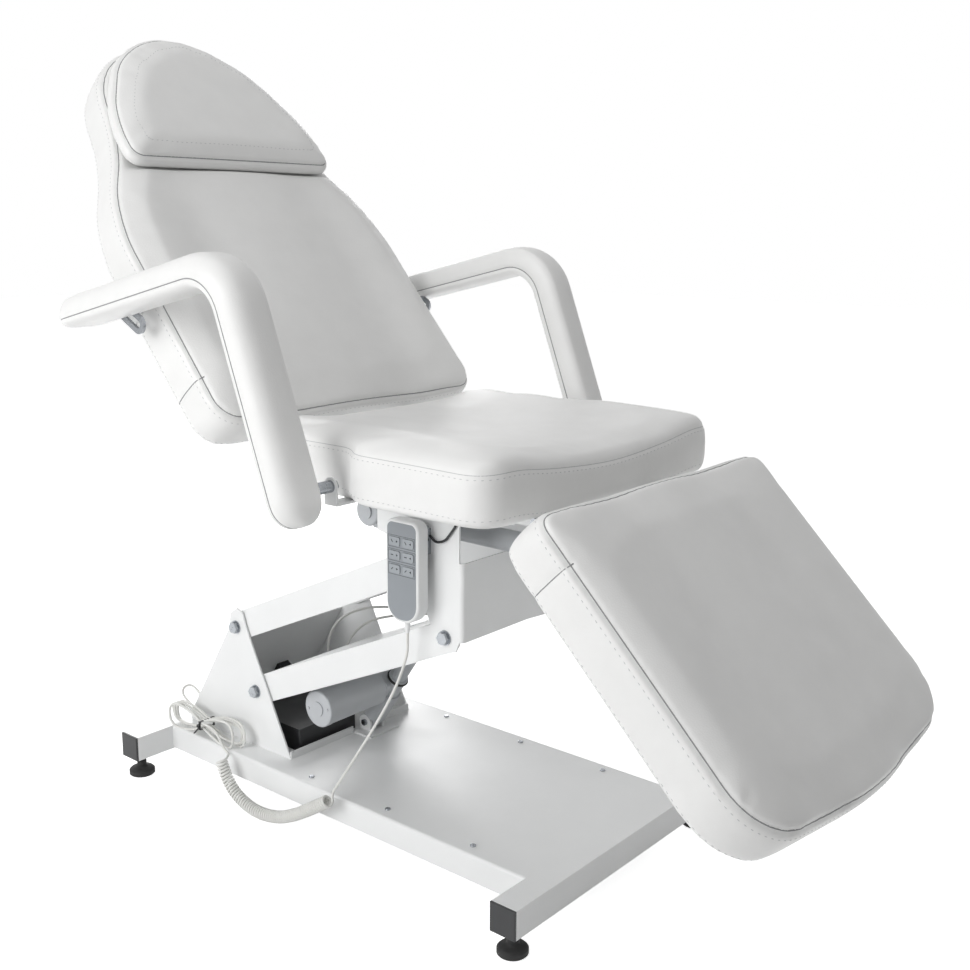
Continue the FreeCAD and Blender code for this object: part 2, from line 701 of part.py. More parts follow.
def key(centre):
    return key_block(centre, 0, HANDSET_FRONT - 1.2, HANDSET_FRONT + 6)


def handset_holder():
    """Plate behind the handset, on a block that stands it off the pedestal."""
    narrow = HOLDER_HALF - 9.0
    bend = HOLDER_LOW + 38.0
    outline = [(HANDSET_Y - HOLDER_HALF, HOLDER_HIGH), (HANDSET_Y + HOLDER_HALF, HOLDER_HIGH),
               (HANDSET_Y + HOLDER_HALF, bend), (HANDSET_Y + narrow, HOLDER_LOW),
               (HANDSET_Y - narrow, HOLDER_LOW), (HANDSET_Y - HOLDER_HALF, bend)]
    inside = HOLDER_X + HOLDER_THICK
    block = box(inside, -PLATE_OUT, HANDSET_Y - 26, HANDSET_Y + 10, HOLDER_LOW + 24, HOLDER_HIGH - 6)
    return joined([prism_x(outline, HOLDER_X, inside), block])


def handset_hook():
    """Black wire from the holder's block to the top of the pedestal."""
    return cord_tube([Vector(*p) for p in HOOK_ROUTE], HOOK_R, "hook wire")


def strain_relief():
    y = HANDSET_Y
    x = LEAD_ROUTE_TOP[0][0]
    low = LEAD_ROUTE_TOP[0][2]
    return Part.makeCone(WIRE_R + 0.7, 5.0, HANDSET_LOW - low, Vector(x, y, low), Vector(0, 0, 1))


# Back, drawn flat: Y along the back from the hinge, Z out of its front

def back_turned(shape):
    return turned(shape, BACK_ANGLE, BACK_HINGE)


def back_outline(inset, z):
    w = BACK_HALF - inset
    low = BACK_NEAR + inset
    across = w / BACK_HALF
    along = (BACK_FAR - BACK_NEAR - 2 * inset) / (BACK_FAR - BACK_NEAR)

    def at(x, y):
        return (across * x, low + along * (y - BACK_NEAR))
    r = 46.0
    half = [((w - r, low),),
            (corner_mid((w - r, low + r), r, 1, -1), (w, low + r)),
            (at(297, 240), at(300, 405)),
            (at(287, 452), at(255, 500)),
            (at(226, 556), at(212, 616)),
            (at(182, 722), at(104, 806)),
            (at(54, 830), at(0, BACK_FAR))]
    return mirrored_wire((0, low), half, z)


def back_board():
    lower = box(-250, 250, 54, 440, BACK_LOW, BACK_LOW + BOARD_THICK)
    head = box(-150, 150, 430, 700, BACK_LOW, BACK_LOW + BOARD_THICK)
    return joined([lower, head])


def back_cushion():
    pad = padded(back_outline, BACK_LOW, BACK_SEAM, CROWN)
    seat_for_pillow = box(-400, 400, PILLOW_NEAR - 2, 900, BACK_SEAM + 0.4, BACK_SEAM + 60)
    return back_turned(without(pad, [back_board(), seat_for_pillow]))


def lever_end(lever, lean, angle):
    """Where a lever's eye lies in a panel's own flat frame."""
    turn = math.radians(lean)
    y = lever * math.sin(turn)
    z = -lever * math.cos(turn)
    tilt = math.radians(angle)
    return (y * math.cos(tilt) + z * math.sin(tilt), -y * math.sin(tilt) + z * math.cos(tilt))


def lever_slot(x0, x1, eye, half_width, inward, outward):
    """A long round-ended shape along the line from the hinge to a lever's eye."""
    reach = math.hypot(*eye)
    ends = [(eye[0] * (reach + d) / reach, eye[1] * (reach + d) / reach) for d in (-inward, outward)]
    return strap_x(ends[0], ends[1], half_width, x0, x1)


def back_frame():
    half = FRAME_TUBE / 2
    middle = BACK_LOW - half
    rails = pair(square_tube_y(25, 640, -167.5, middle, FRAME_TUBE, 2.0))
    bars = [square_tube_x(-167.5, 167.5, y, middle, FRAME_TUBE, 2.0) for y in (50, 330, 627.5)]
    lugs = pair(strap_x((0, 0), (22, -46), 11.0, -161, -155))
    eye = lever_end(BACK_LEVER, BACK_LEVER_LEAN, BACK_ANGLE)
    plates = []
    for x in (BACK_ROD_X - 19, BACK_ROD_X + 14):
        stem = strap_x((50, middle), eye, 11.5, x, x + 5)
        plates.append(joined([stem, lever_slot(x, x + 5, eye, 15.0, 1.0, 13.5)]))
    slot = lever_slot(-200, 200, eye, 9.6, 1.0, 13.5)
    body = joined(rails + bars + lugs + plates)
    return back_turned(without(body, [slot, rod_x(4.1, -200, 200, 0, 0)]))


def back_local(point):
    """A point of the side view in the back's own flat frame."""
    y = point[0] - BACK_HINGE[0]
    z = point[1] - BACK_HINGE[1]
    tilt = math.radians(BACK_ANGLE)
    return (y * math.cos(tilt) + z * math.sin(tilt), -y * math.sin(tilt) + z * math.cos(tilt))


def back_armrest_brackets():
    y, z = back_local(ARMREST_PIN)
    plate = joined([box(-306, -303.4, y - 14, y + 14, BACK_LOW - 3, z), rod_x(14.0, -306, -303.4, y, z)])
    shelf = box(-306, -190, y - 14, y + 14, BACK_LOW - 3, BACK_LOW - 0.2)
    pin = rod_x(4.0, -ARMREST_IN - 4.4, -303.4, y, z)
    collar = rod_x(7.5, -ARMREST_IN + 0.3, -305, y, z)
    return group([back_turned(s) for s in pair(joined([plate, shelf, pin, collar]))])


def pillow_outline(inset, z):
    low = PILLOW_NEAR + inset
    far = PILLOW_FAR - inset
    w = 226.0 - inset
    r = 26.0
    shoulder = far - 0.283 * w
    side = low + r + 0.6 * (shoulder - low - r)
    half = [((0.5 * w, low + 3.0), (w - r, low)),
            (corner_mid((w - r, low + r), r, 1, -1), (w, low + r)),
            ((0.867 * w, side), (0.61 * w, shoulder)),
            ((0.337 * w, far - 0.075 * w), (0, far))]
    return mirrored_wire((0, low), half, z)


def headrest_pillow():
    base = BACK_SEAM + 0.8
    rows = [(7.0, base), (0.5, base + 9), (0.0, base + 17), (9.0, base + 33), (34.0, base + 44),
            (90.0, base + 48)]
    return back_turned(Part.makeLoft([pillow_outline(inset, z) for inset, z in rows], True, False))


# Leg rest, drawn flat: -Y along the leg from the hinge, Z out of its top

def leg_turned(shape):
    return turned(shape, LEG_ANGLE, LEG_HINGE)


def leg_outline(inset, z):
    near = -LEG_NEAR - inset
    far = -LEG_FAR + inset
    w = LEG_HALF - inset
    r_near = 34.0
    r_far = 74.0
    bulge = 22.0
    half = [((0.5 * w, far - 0.76 * bulge), (w - r_far, far)),
            (corner_mid((w - r_far, far + r_far), r_far, 1, -1), (w, far + r_far)),
            ((w - 2.5, -260), (w, near - r_near)),
            (corner_mid((w - r_near, near - r_near), r_near, 1, 1), (w - r_near, near)),
            ((0, near),)]
    return mirrored_wire((0, far - bulge), half, z)


def leg_board():
    return box(-240, 240, -462, -72, LEG_LOW, LEG_LOW + BOARD_THICK)


def leg_cushion():
    return leg_turned(padded(leg_outline, LEG_LOW, LEG_SEAM, CROWN).cut(leg_board()))


def leg_frame():
    half = FRAME_TUBE / 2
    middle = LEG_LOW - half
    rails = pair(square_tube_y(-440, -28, -167.5, middle, FRAME_TUBE, 2.0))
    bars = [square_tube_x(-167.5, 167.5, y, middle, FRAME_TUBE, 2.0) for y in (-54, -427.5)]
    lugs = pair(strap_x((0, 0), (-50, 2), 9.0, -161, -155))
    eye = lever_end(LEG_LEVER, LEG_LEVER_LEAN, LEG_ANGLE)
    outline = [(-42, middle), (-66, middle), (eye[0] - 16, eye[1] - 4), (eye[0] - 6, eye[1] - 16),
               (eye[0] + 8, eye[1] - 14), (eye[0] + 16, eye[1] + 6)]
    plates = [prism_x(outline, x, x + 5) for x in (LEG_ROD_X - 19, LEG_ROD_X + 14)]
    slot = lever_slot(-200, 200, eye, 6.4, 5.0, 5.0)
    body = joined(rails + bars + lugs + plates)
    return leg_turned(without(body, [slot, rod_x(4.1, -200, 200, 0, 0)]))


# Armrests

def armrest_profile(half, reach):
    """The side outline of a bent pad: its middle line, widened by half and lengthened by reach."""
    rear = Vector(0, *ARMREST_REAR)
    corner = Vector(0, *ARMREST_CORNER)
    foot = Vector(0, *ARMREST_FOOT)
    first = (corner - rear).normalize()
    second = (foot - corner).normalize()
    turn = math.acos(first.dot(second))
    tangent = ARMREST_BEND * math.tan(turn / 2)
    outward = Vector(0, first.z, -first.y)
    outward2 = Vector(0, second.z, -second.y)
    if outward.z < 0:
        outward = outward * -1
        outward2 = outward2 * -1
    start = rear - first * reach
    bend_in = corner - first * tangent
    bend_out = corner + second * tangent
    centre = bend_in - outward * ARMREST_BEND
    bisector = (outward + outward2).normalize()
    finish = foot + second * reach

    def cap(point, side, ahead):
        corner_a = point + side * half
        corner_b = point - side * half
        diagonal = math.sqrt(0.5) * half
        tip = point + ahead * half
        return [Part.Arc(corner_a, point + side * diagonal + ahead * diagonal, tip).toShape(),
                Part.Arc(tip, point - side * diagonal + ahead * diagonal, corner_b).toShape()]

    edges = [Part.makeLine(start + outward * half, bend_in + outward * half),
             Part.Arc(bend_in + outward * half, centre + bisector * (ARMREST_BEND + half),
                      bend_out + outward2 * half).toShape(),
             Part.makeLine(bend_out + outward2 * half, finish + outward2 * half)]
    edges += cap(finish, outward2, second)
    edges += [Part.makeLine(finish - outward2 * half, bend_out - outward2 * half),
              Part.Arc(bend_out - outward2 * half, centre + bisector * (ARMREST_BEND - half),
                       bend_in - outward * half).toShape(),
              Part.makeLine(bend_in - outward * half, start - outward * half)]
    edges += cap(start, outward, first * -1)
    return Part.Face(Part.Wire(Part.__sortEdges__(edges)))


STRAP_THICK = 5.0


def armrest_slot_ends():
    ay, az = ARMREST_PIVOT
    by, bz = ARMREST_PIN
    reach = math.hypot(by - ay, bz - az)
    unit = ((by - ay) / reach, (bz - az) / reach)
    return [(ay + unit[0] * (reach + d), az + unit[1] * (reach + d)) for d in ARMREST_TRAVEL]


def armrest_strap():
    face = armrest_profile(13.0, -12.0)
    face.translate(Vector(-ARMREST_IN - STRAP_THICK, 0, 0))
    strap = face.extrude(Vector(STRAP_THICK, 0, 0))
    a, b = armrest_slot_ends()
    tab = strap_x(a, b, 15.0, -ARMREST_IN - STRAP_THICK, -ARMREST_IN)
    slot = strap_x(a, b, 6.0, -ARMREST_IN - 20, -ARMREST_IN + 20)
    boss = rod_x(14.0, -ARMREST_IN - STRAP_THICK, -ARMREST_IN, *ARMREST_PIVOT)
    return without(joined([strap, tab, boss]), [slot, rod_x(5.0 + FIT, -340, -280, *ARMREST_PIVOT)])


def armrest_pad():
    face = armrest_profile(ARMREST_THICK / 2, 0.0)
    face.translate(Vector(-ARMREST_IN - ARMREST_WIDTH, 0, 0))
    pad = face.extrude(Vector(ARMREST_WIDTH, 0, 0))
    rims = [e for e in pad.Edges if e.BoundBox.XLength < 0.1]
    pad = pad.makeFillet(17.0, rims)
    a, b = armrest_slot_ends()
    outside = -ARMREST_IN - STRAP_THICK
    pocket = armrest_profile(13.0, -12.0)
    pocket.translate(Vector(outside, 0, 0))
    room = [pocket.extrude(Vector(30, 0, 0)), strap_x(a, b, 15.0, outside, -280),
            rod_x(14.0, outside, -280, *ARMREST_PIVOT), rod_x(6.0, outside - 6, outside + 1, *ARMREST_PIVOT)]
    return without(pad, room)


# Cords

def arc_from(start, heading, end):
    """An arc that leaves start along heading and reaches end; a line where they are straight ahead."""
    chord = end - start
    span = chord.Length
    unit = chord * (1.0 / span)
    across = heading - unit * heading.dot(unit)
    if across.Length < 1e-6:
        return Part.makeLine(start, end)
    half = math.atan2(across.Length, heading.dot(unit)) / 2
    middle = start + chord * 0.5 + across.normalize() * (0.5 * span * math.tan(half))
    return Part.Arc(start, middle, end).toShape()


def biarc(p0, t0, p1, t1):
    """Two tangent arcs between two points with given headings."""
    v = p1 - p0
    t = t0 + t1
    a = 2.0 * (1.0 - t0.dot(t1))
    b = v.dot(t)
    if a < 1e-9:
        d = v.dot(v) / (2.0 * b)
    else:
        d = (-b + math.sqrt(b * b + a * v.dot(v))) / a
    q = (p0 + t0 * d + p1 - t1 * d) * 0.5
    heading = (q - (p0 + t0 * d)).normalize()
    return [arc_from(p0, t0, q), arc_from(q, heading, p1)]


def wound_tube(edges, radius):
    wire = Part.Wire(edges)
    start = edges[0].Vertexes[0].Point
    heading = edges[0].tangentAt(edges[0].FirstParameter)
    ring = Part.Wire(Part.Circle(start, heading, radius).toShape())
    tube = wire.makePipeShell([ring], True, False)
    return Part.Solid(tube) if tube.ShapeType != "Solid" else tube


def cord_tube(points, radius, name):
    """A free cord: straight runs joined by arcs as large as the runs allow."""
    edges = []
    radii = []
    at = points[0]
    for before, point, after in zip(points, points[1:], points[2:]):
        into = (point - before)
        out = (after - point)
        shorter = min(into.Length, out.Length)
        into = into.normalize()
        out = out.normalize()
        turn = math.acos(max(-1.0, min(1.0, into.dot(out))))
        cut = 0.45 * shorter
        radii.append(cut / math.tan(turn / 2))
        edges.append(Part.makeLine(at, point - into * cut))
        edges.append(arc_from(point - into * cut, into, point + out * cut))
        at = point + out * cut
    edges.append(Part.makeLine(at, points[-1]))
    tube = wound_tube(edges, radius)
    length = sum(e.Length for e in edges)
    share = tube.Volume / (math.pi * radius * radius * length)
    print(name, "length %.0f" % length, "volume share %.3f" % share, "radii", [round(r) for r in radii])
    return tube


def least_gap(points, radius, skip):
    """The least clear space between stretches of a wound tube, on points along its middle line."""
    best = 1e9
    for i, p in enumerate(points):
        for q in points[i + skip:]:
            d = (p - q).Length
            if d < best:
                best = d
    return best - 2 * radius


def curl_axis():
    """The curly cord's middle line, a smooth curve drawn by its route points."""
    poles = [Vector(*p) for p in CURL_ROUTE]
    count = len(poles) - 2
    knots = list(range(count + 1))
    mults = [3] + [1] * (count - 1) + [3]
    curve = Part.BSplineCurve()
    curve.buildFromPolesMultsKnots(poles, mults, knots, False, 2)
    return curve


def curl_point(curve, length, turn):
    """A point of the curls after so many turns from the rear end."""
    share = (turn - CURL_START) / (CURL_TURNS - CURL_START)
    u = curve.parameterAtDistance(max(0.0, min(1.0, share)) * length, curve.FirstParameter)
    centre = curve.value(u)
    ahead = Vector(*curve.tangent(u)[0])
    side = Vector(1, 0, 0)
    up = ahead.cross(side)
    phase = 2 * math.pi * turn
    return centre + side * (CURL_R * math.cos(phase)) + up * (CURL_R * math.sin(phase))


def curl_heading(curve, length, turn):
    small = 0.002
    return (curl_point(curve, length, turn + small) - curl_point(curve, length, turn - small)).normalize()


def curly_cord():
    """The curls as one tube, with a straight stub at each end; also gives the stubs' ends."""
    curve = curl_axis()
    length = curve.length()
    stops = [CURL_START] + [0.5 * i for i in range(1, 2 * CURL_TURNS + 1)]
    spots = [curl_point(curve, length, t) for t in stops]
    inside = [min(max(t, CURL_START + 0.005), CURL_TURNS - 0.005) for t in stops]
    headings = [curl_heading(curve, length, t) for t in inside]
    rear = spots[0] - headings[0] * (2 * WIRE_R)
    lead_way = (Vector(*LEAD_ROUTE_TOP[-1]) - spots[-1]).normalize()
    rise = spots[-1] + headings[-1] * 9.0 + lead_way * 9.0
    front = rise + lead_way * (2 * WIRE_R)
    edges = [Part.makeLine(rear, spots[0])]
    for i in range(len(stops) - 1):
        edges += biarc(spots[i], headings[i], spots[i + 1], headings[i + 1])
    edges += biarc(spots[-1], headings[-1], rise, lead_way)
    edges.append(Part.makeLine(rise, front))
    tube = wound_tube(edges, WIRE_R)
    per_turn = 16
    count = int((CURL_TURNS - 1) * per_turn)
    points = [curl_point(curve, length, CURL_START + i / per_turn) for i in range(count)]
    wire = sum(e.Length for e in edges)
    share = tube.Volume / (math.pi * WIRE_R ** 2 * wire)
    print("curly cord axis %.0f wire %.0f share %.3f" % (length, wire, share),
          "least gap %.2f" % least_gap(points, WIRE_R, per_turn // 2 + 1))
    print("curls from", tuple(rear), "heading", tuple(headings[0]), "to", tuple(front))
    return tube, rear, headings[0], front, lead_way


def hank_stops():
    """Points and headings of the hank's loops, drawn in at the waist and a wire apart."""
    stops = []
    for k in range(HANK_LOOPS):
        reach = HANK_REACH - 9.0 * (k % 2) - 4.0 * (k // 2)
        rise = HANK_RISE - 2.0 * (k % 3)
        other = HANK_REACH - 14.0 + 7.0 * (k % 3)
        x = -HANK_STEP * k
        stops += [((x, 0, HANK_WAIST), (0, -1, 0)), ((x, -0.6 * reach, rise), (0, -1, 0)),
                  ((x, -reach, 0), (0, 0, -1)), ((x, -0.6 * reach, -rise), (0, 1, 0)),
                  ((x, 0, -HANK_WAIST), (0, 1, 0)), ((x, 0.6 * other, -rise), (0, 1, 0)),
                  ((x, other, 0), (0, 0, 1)), ((x, 0.6 * other, rise), (0, -1, 0))]
    stops.append(((-HANK_STEP * HANK_LOOPS, 0, HANK_WAIST), (0, -1, 0)))
    return [(HANK_MIDDLE + Vector(*p), Vector(*t)) for p, t in stops]


def cord_hank():
    stops = hank_stops()
    stub = 2 * WIRE_R
    edges = [Part.makeLine(stops[0][0] - stops[0][1] * stub, stops[0][0])]
    for (p0, t0), (p1, t1) in zip(stops, stops[1:]):
        edges += biarc(p0, t0, p1, t1)
    last = stops[-1]
    edges.append(Part.makeLine(last[0], last[0] + last[1] * stub))
    tube = wound_tube(edges, WIRE_R)
    points = []
    for edge in edges:
        points += edge.discretize(6)[:-1]
    length = sum(e.Length for e in edges)
    share = tube.Volume / (math.pi * WIRE_R ** 2 * length)
    print("hank wire %.0f share %.3f" % (length, share), "least gap %.2f" % least_gap(points, WIRE_R, 12))
    return tube, edges[0].Vertexes[0].Point, edges[-1].Vertexes[-1].Point


def hank_tie():
    m = HANK_MIDDLE
    x0 = m.x - HANK_STEP * HANK_LOOPS - 4.5
    x1 = m.x + 4.5
    low = m.z - HANK_WAIST - 4.2
    high = m.z + HANK_WAIST + 4.2
    band = box(x0, x1, m.y - 2.4, m.y + 2.4, low, high)
    band = band.cut(box(x0 + 1.3, x1 - 1.3, m.y - 3, m.y + 3, low + 1.3, high - 1.3))
    lock = box(x0 - 4, x0, m.y - 3.2, m.y + 3.2, m.z - 2.5, m.z + 2.5)
    outline = [(m.y - 2, m.z - 2), (m.y - 0.6, m.z - 2), (m.y + 14, m.z - 17), (m.y + 13, m.z - 18)]
    tail = prism_x(outline, x0 - 3.5, x0 - 0.2)
    return joined([band, lock, tail])


def handset_cord():
    curls, rear, rear_heading, front, lead_way = curly_cord()
    hank, hank_start, hank_end = cord_hank()
    tail_points = [Vector(*p) for p in TAIL_ROUTE] + [hank_start]
    link_points = [hank_end] + [Vector(*p) for p in LINK_ROUTE] + [rear - rear_heading * 24.0, rear]
    lead_points = [Vector(*p) for p in LEAD_ROUTE_TOP] + [front + lead_way * LEAD_END_GAP]
    tail = cord_tube(tail_points, WIRE_R, "tail")
    link = cord_tube(link_points, WIRE_R, "link")
    lead = cord_tube(lead_points, WIRE_R, "lead")
    return {"handset_curly_cord": curls, "handset_cord_hank": hank, "handset_cord_tail": group([tail, link]),
            "handset_lead": lead}


# All pieces by name

def base_pieces():
    pieces = {"base_front_tube": cross_tube(-TUBE_SPACING / 2),
              "base_rear_tube": cross_tube(TUBE_SPACING / 2),
              "base_deck": deck(), "base_fasteners": base_fasteners(), "tube_end_caps": end_caps(),
              "lift_bracket": lift_bracket(), "control_box": control_box(), "mains_inlet": mains_inlet(),
              "cord_gland": cord_gland(), "lift_clevis": lift_clevis()}
    foot_x = TUBE_LENGTH / 2 - FOOT_INSET
    for end, y in (("front", -TUBE_SPACING / 2), ("rear", TUBE_SPACING / 2)):
        for side, sign in (("right", -1), ("left", 1)):
            pieces["foot_%s_%s" % (end, side)] = levelling_foot(sign * foot_x, y)
    return pieces


def lift_pieces():
    return {"lower_arm": lower_arm(), "motor_leads": motor_leads(), "upper_arm": upper_arm(),
            "lift_motor": lift_motor(), "lift_gearbox": actuator_turned(lift_gearbox()),
            "lift_outer_tube": lift_outer_tube(), "lift_rod": lift_rod()}


def seat_pieces():
    back_body = seat_actuator(BACK_ROD_X, BACK_BODY_PIN, BACK_ROD_Z, 1, 224, "along")
    leg_body = seat_actuator(LEG_ROD_X, LEG_BODY_PIN, LEG_ROD_Z, -1, 330, "across")
    pieces = {"seat_pedestal": seat_pedestal(), "seat_pivot_bolts": seat_pivot_bolts(),
              "seat_frame": seat_frame(), "seat_board": seat_board(), "seat_cushion": seat_cushion(),
              "armrest_brackets": armrest_brackets(),
              "back_actuator": back_body, "leg_actuator": leg_body,
              "back_rod": seat_rod(BACK_ROD_X, BACK_EYE_Y, BACK_ROD_Z, 1, 190),
              "leg_rod": seat_rod(LEG_ROD_X, LEG_EYE_Y, LEG_ROD_Z, -1, 190),
              "handset_holder": handset_holder(), "handset_back_shell": handset_back_shell(),
              "handset_front_shell": handset_front_shell(), "handset_face": handset_face(),
              "handset_strain_relief": strain_relief(), "handset_hook": handset_hook()}
    names = ["key_%s_%s" % (what, way) for what in ("back", "lift", "leg") for way in ("up", "down")]
    for name, centre in zip(names, key_centres()):
        pieces[name] = key(centre)
    return pieces


def panel_pieces():
    pieces = {"back_frame": back_frame(), "back_board": back_turned(back_board()),
              "back_cushion": back_cushion(),
              "back_armrest_brackets": back_armrest_brackets(), "headrest_pillow": headrest_pillow(),
              "leg_frame": leg_frame(), "leg_board": leg_turned(leg_board()), "leg_cushion": leg_cushion()}
    for name, shape in (("strap", armrest_strap()), ("pad", armrest_pad())):
        pieces["armrest_right_%s" % name] = shape
        pieces["armrest_left_%s" % name] = mirrored(shape)
    return pieces


def main():
    os.makedirs("parts", exist_ok=True)
    pieces = {}
    for made in (base_pieces(), lift_pieces(), seat_pieces(), panel_pieces(), handset_cord()):
        pieces.update(made)
    pieces["hank_tie"] = hank_tie()
    for name, shape in pieces.items():
        shape.translate(Vector(0, ORIGIN_SHIFT_Y, 0))
        shape.exportStep("parts/%s.step" % name)
        state = "valid" if shape.isValid() else "NOT VALID"
        print(name, state, len(shape.Solids), "%.1f" % (shape.Volume / 1000))


main()
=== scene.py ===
"""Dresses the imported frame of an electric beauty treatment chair: upholstery, cords, finishes and studio."""

import json
import logging
from dataclasses import dataclass, field
from enum import Enum
from math import copysign, cos, exp, pi, radians, sin, tan
from typing import Callable, Iterable, Optional, Sequence

import bmesh
import bpy
from bmesh import ops
from bmesh.types import BMEdge, BMesh, BMVert
from bpy.types import Material, Mesh, Node, NodeSocket, NodeTree, Object
from mathutils import Matrix, Vector
from mathutils.bvhtree import BVHTree
from mathutils.kdtree import KDTree


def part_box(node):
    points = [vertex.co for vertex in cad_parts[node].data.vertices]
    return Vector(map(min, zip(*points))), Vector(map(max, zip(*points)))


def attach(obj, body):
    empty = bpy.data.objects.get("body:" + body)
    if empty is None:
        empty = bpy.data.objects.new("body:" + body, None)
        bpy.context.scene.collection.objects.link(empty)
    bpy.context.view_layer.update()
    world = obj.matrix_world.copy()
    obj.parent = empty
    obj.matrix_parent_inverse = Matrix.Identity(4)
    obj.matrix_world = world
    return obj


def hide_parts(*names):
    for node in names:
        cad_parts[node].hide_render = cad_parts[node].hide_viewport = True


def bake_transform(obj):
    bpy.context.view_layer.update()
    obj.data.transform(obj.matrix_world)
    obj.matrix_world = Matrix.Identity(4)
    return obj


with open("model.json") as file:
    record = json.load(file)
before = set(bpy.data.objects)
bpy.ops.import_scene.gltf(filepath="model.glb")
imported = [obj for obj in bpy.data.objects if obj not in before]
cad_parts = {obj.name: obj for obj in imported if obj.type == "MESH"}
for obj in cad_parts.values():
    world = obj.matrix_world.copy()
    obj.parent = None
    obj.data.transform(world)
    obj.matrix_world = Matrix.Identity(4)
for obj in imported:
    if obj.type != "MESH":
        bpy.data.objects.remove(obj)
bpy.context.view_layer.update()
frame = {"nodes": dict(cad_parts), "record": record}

log = logging.getLogger("treatment_chair")

Pair = tuple[float, float]
Point = tuple[float, float, float]
Line = Sequence[Vector]
Ray = tuple[Vector, Vector]
"""A place and a direction: where a ray starts and goes, or a place on a cover and the normal there."""
Ends = tuple[Vector, Vector]

MM = 0.001
BASE_SHIFT_Y = 82.5
"""How far the row frame's origin lies from the middle of the base, in millimetres."""
ALONG_X = Vector((1.0, 0.0, 0.0))
WHITE = (1.0, 1.0, 1.0, 1.0)
ROUNDED = {"offset_type": "OFFSET", "profile": 0.5, "material": -1, "clamp_overlap": True}
"""What every bevel of a bmesh has in common."""
CLOTH = {
    "quality": 4, "mass": 0.3, "tension_stiffness": 15.0, "compression_stiffness": 15.0, "shear_stiffness": 5.0,
    "bending_stiffness": 0.5, "use_pressure": True, "uniform_pressure_force": 4.0, "vertex_group_mass": "held",
}
"""A stretchy cover with foam pressing from inside, pinned by its vertex group."""
CLOTH_FRAMES = 20
STITCH_PITCH, STITCH_LENGTH, STITCH_WIDTH = 7.5 * MM, 4.6 * MM, 1.1 * MM


def spot(x: float, y: float, z: float) -> Vector:
    """A point measured in millimetres from the middle of the base, as a place in the row frame."""
    return Vector((x, y + BASE_SHIFT_Y, z)) * MM


def linear(colour: str) -> tuple[float, float, float, float]:
    """Turns an sRGB hex colour into linear light.

    Args:
        colour: six hex digits after a hash sign.

    Returns:
        Red, green, blue and a full alpha.
    """
    parts = [int(colour[i:i + 2], 16) / 255.0 for i in (1, 3, 5)]
    red, green, blue = (p / 12.92 if p <= 0.04045 else ((p + 0.055) / 1.055) ** 2.4 for p in parts)
    return red, green, blue, 1.0


def set_node(tree: NodeTree, kind: str, inputs: Optional[dict] = None, **settings: object) -> Node:
    """Sets up a node with its settings and links.

    Args:
        tree: the material's or world's node tree.
        kind: a new node's type, or the name of one that is there.
        inputs: socket name or number to a value, or to an output socket that feeds it.
        settings: the node's own properties.

    Returns:
        The node.
    """
    made = tree.nodes.get(kind) or tree.nodes.new(kind)
    for name, value in settings.items():
        setattr(made, name, value)
    for name, value in (inputs or {}).items():
        if isinstance(value, NodeSocket):
            tree.links.new(value, made.inputs[name])
        else:
            made.inputs[name].default_value = value
    return made


class Pattern(Enum):
    """How a surface's fine relief was made."""

    PEBBLED = "pebbled"
    STIPPLED = "stippled"
    BRUSHED = "brushed"
    GRAINED = "grained"


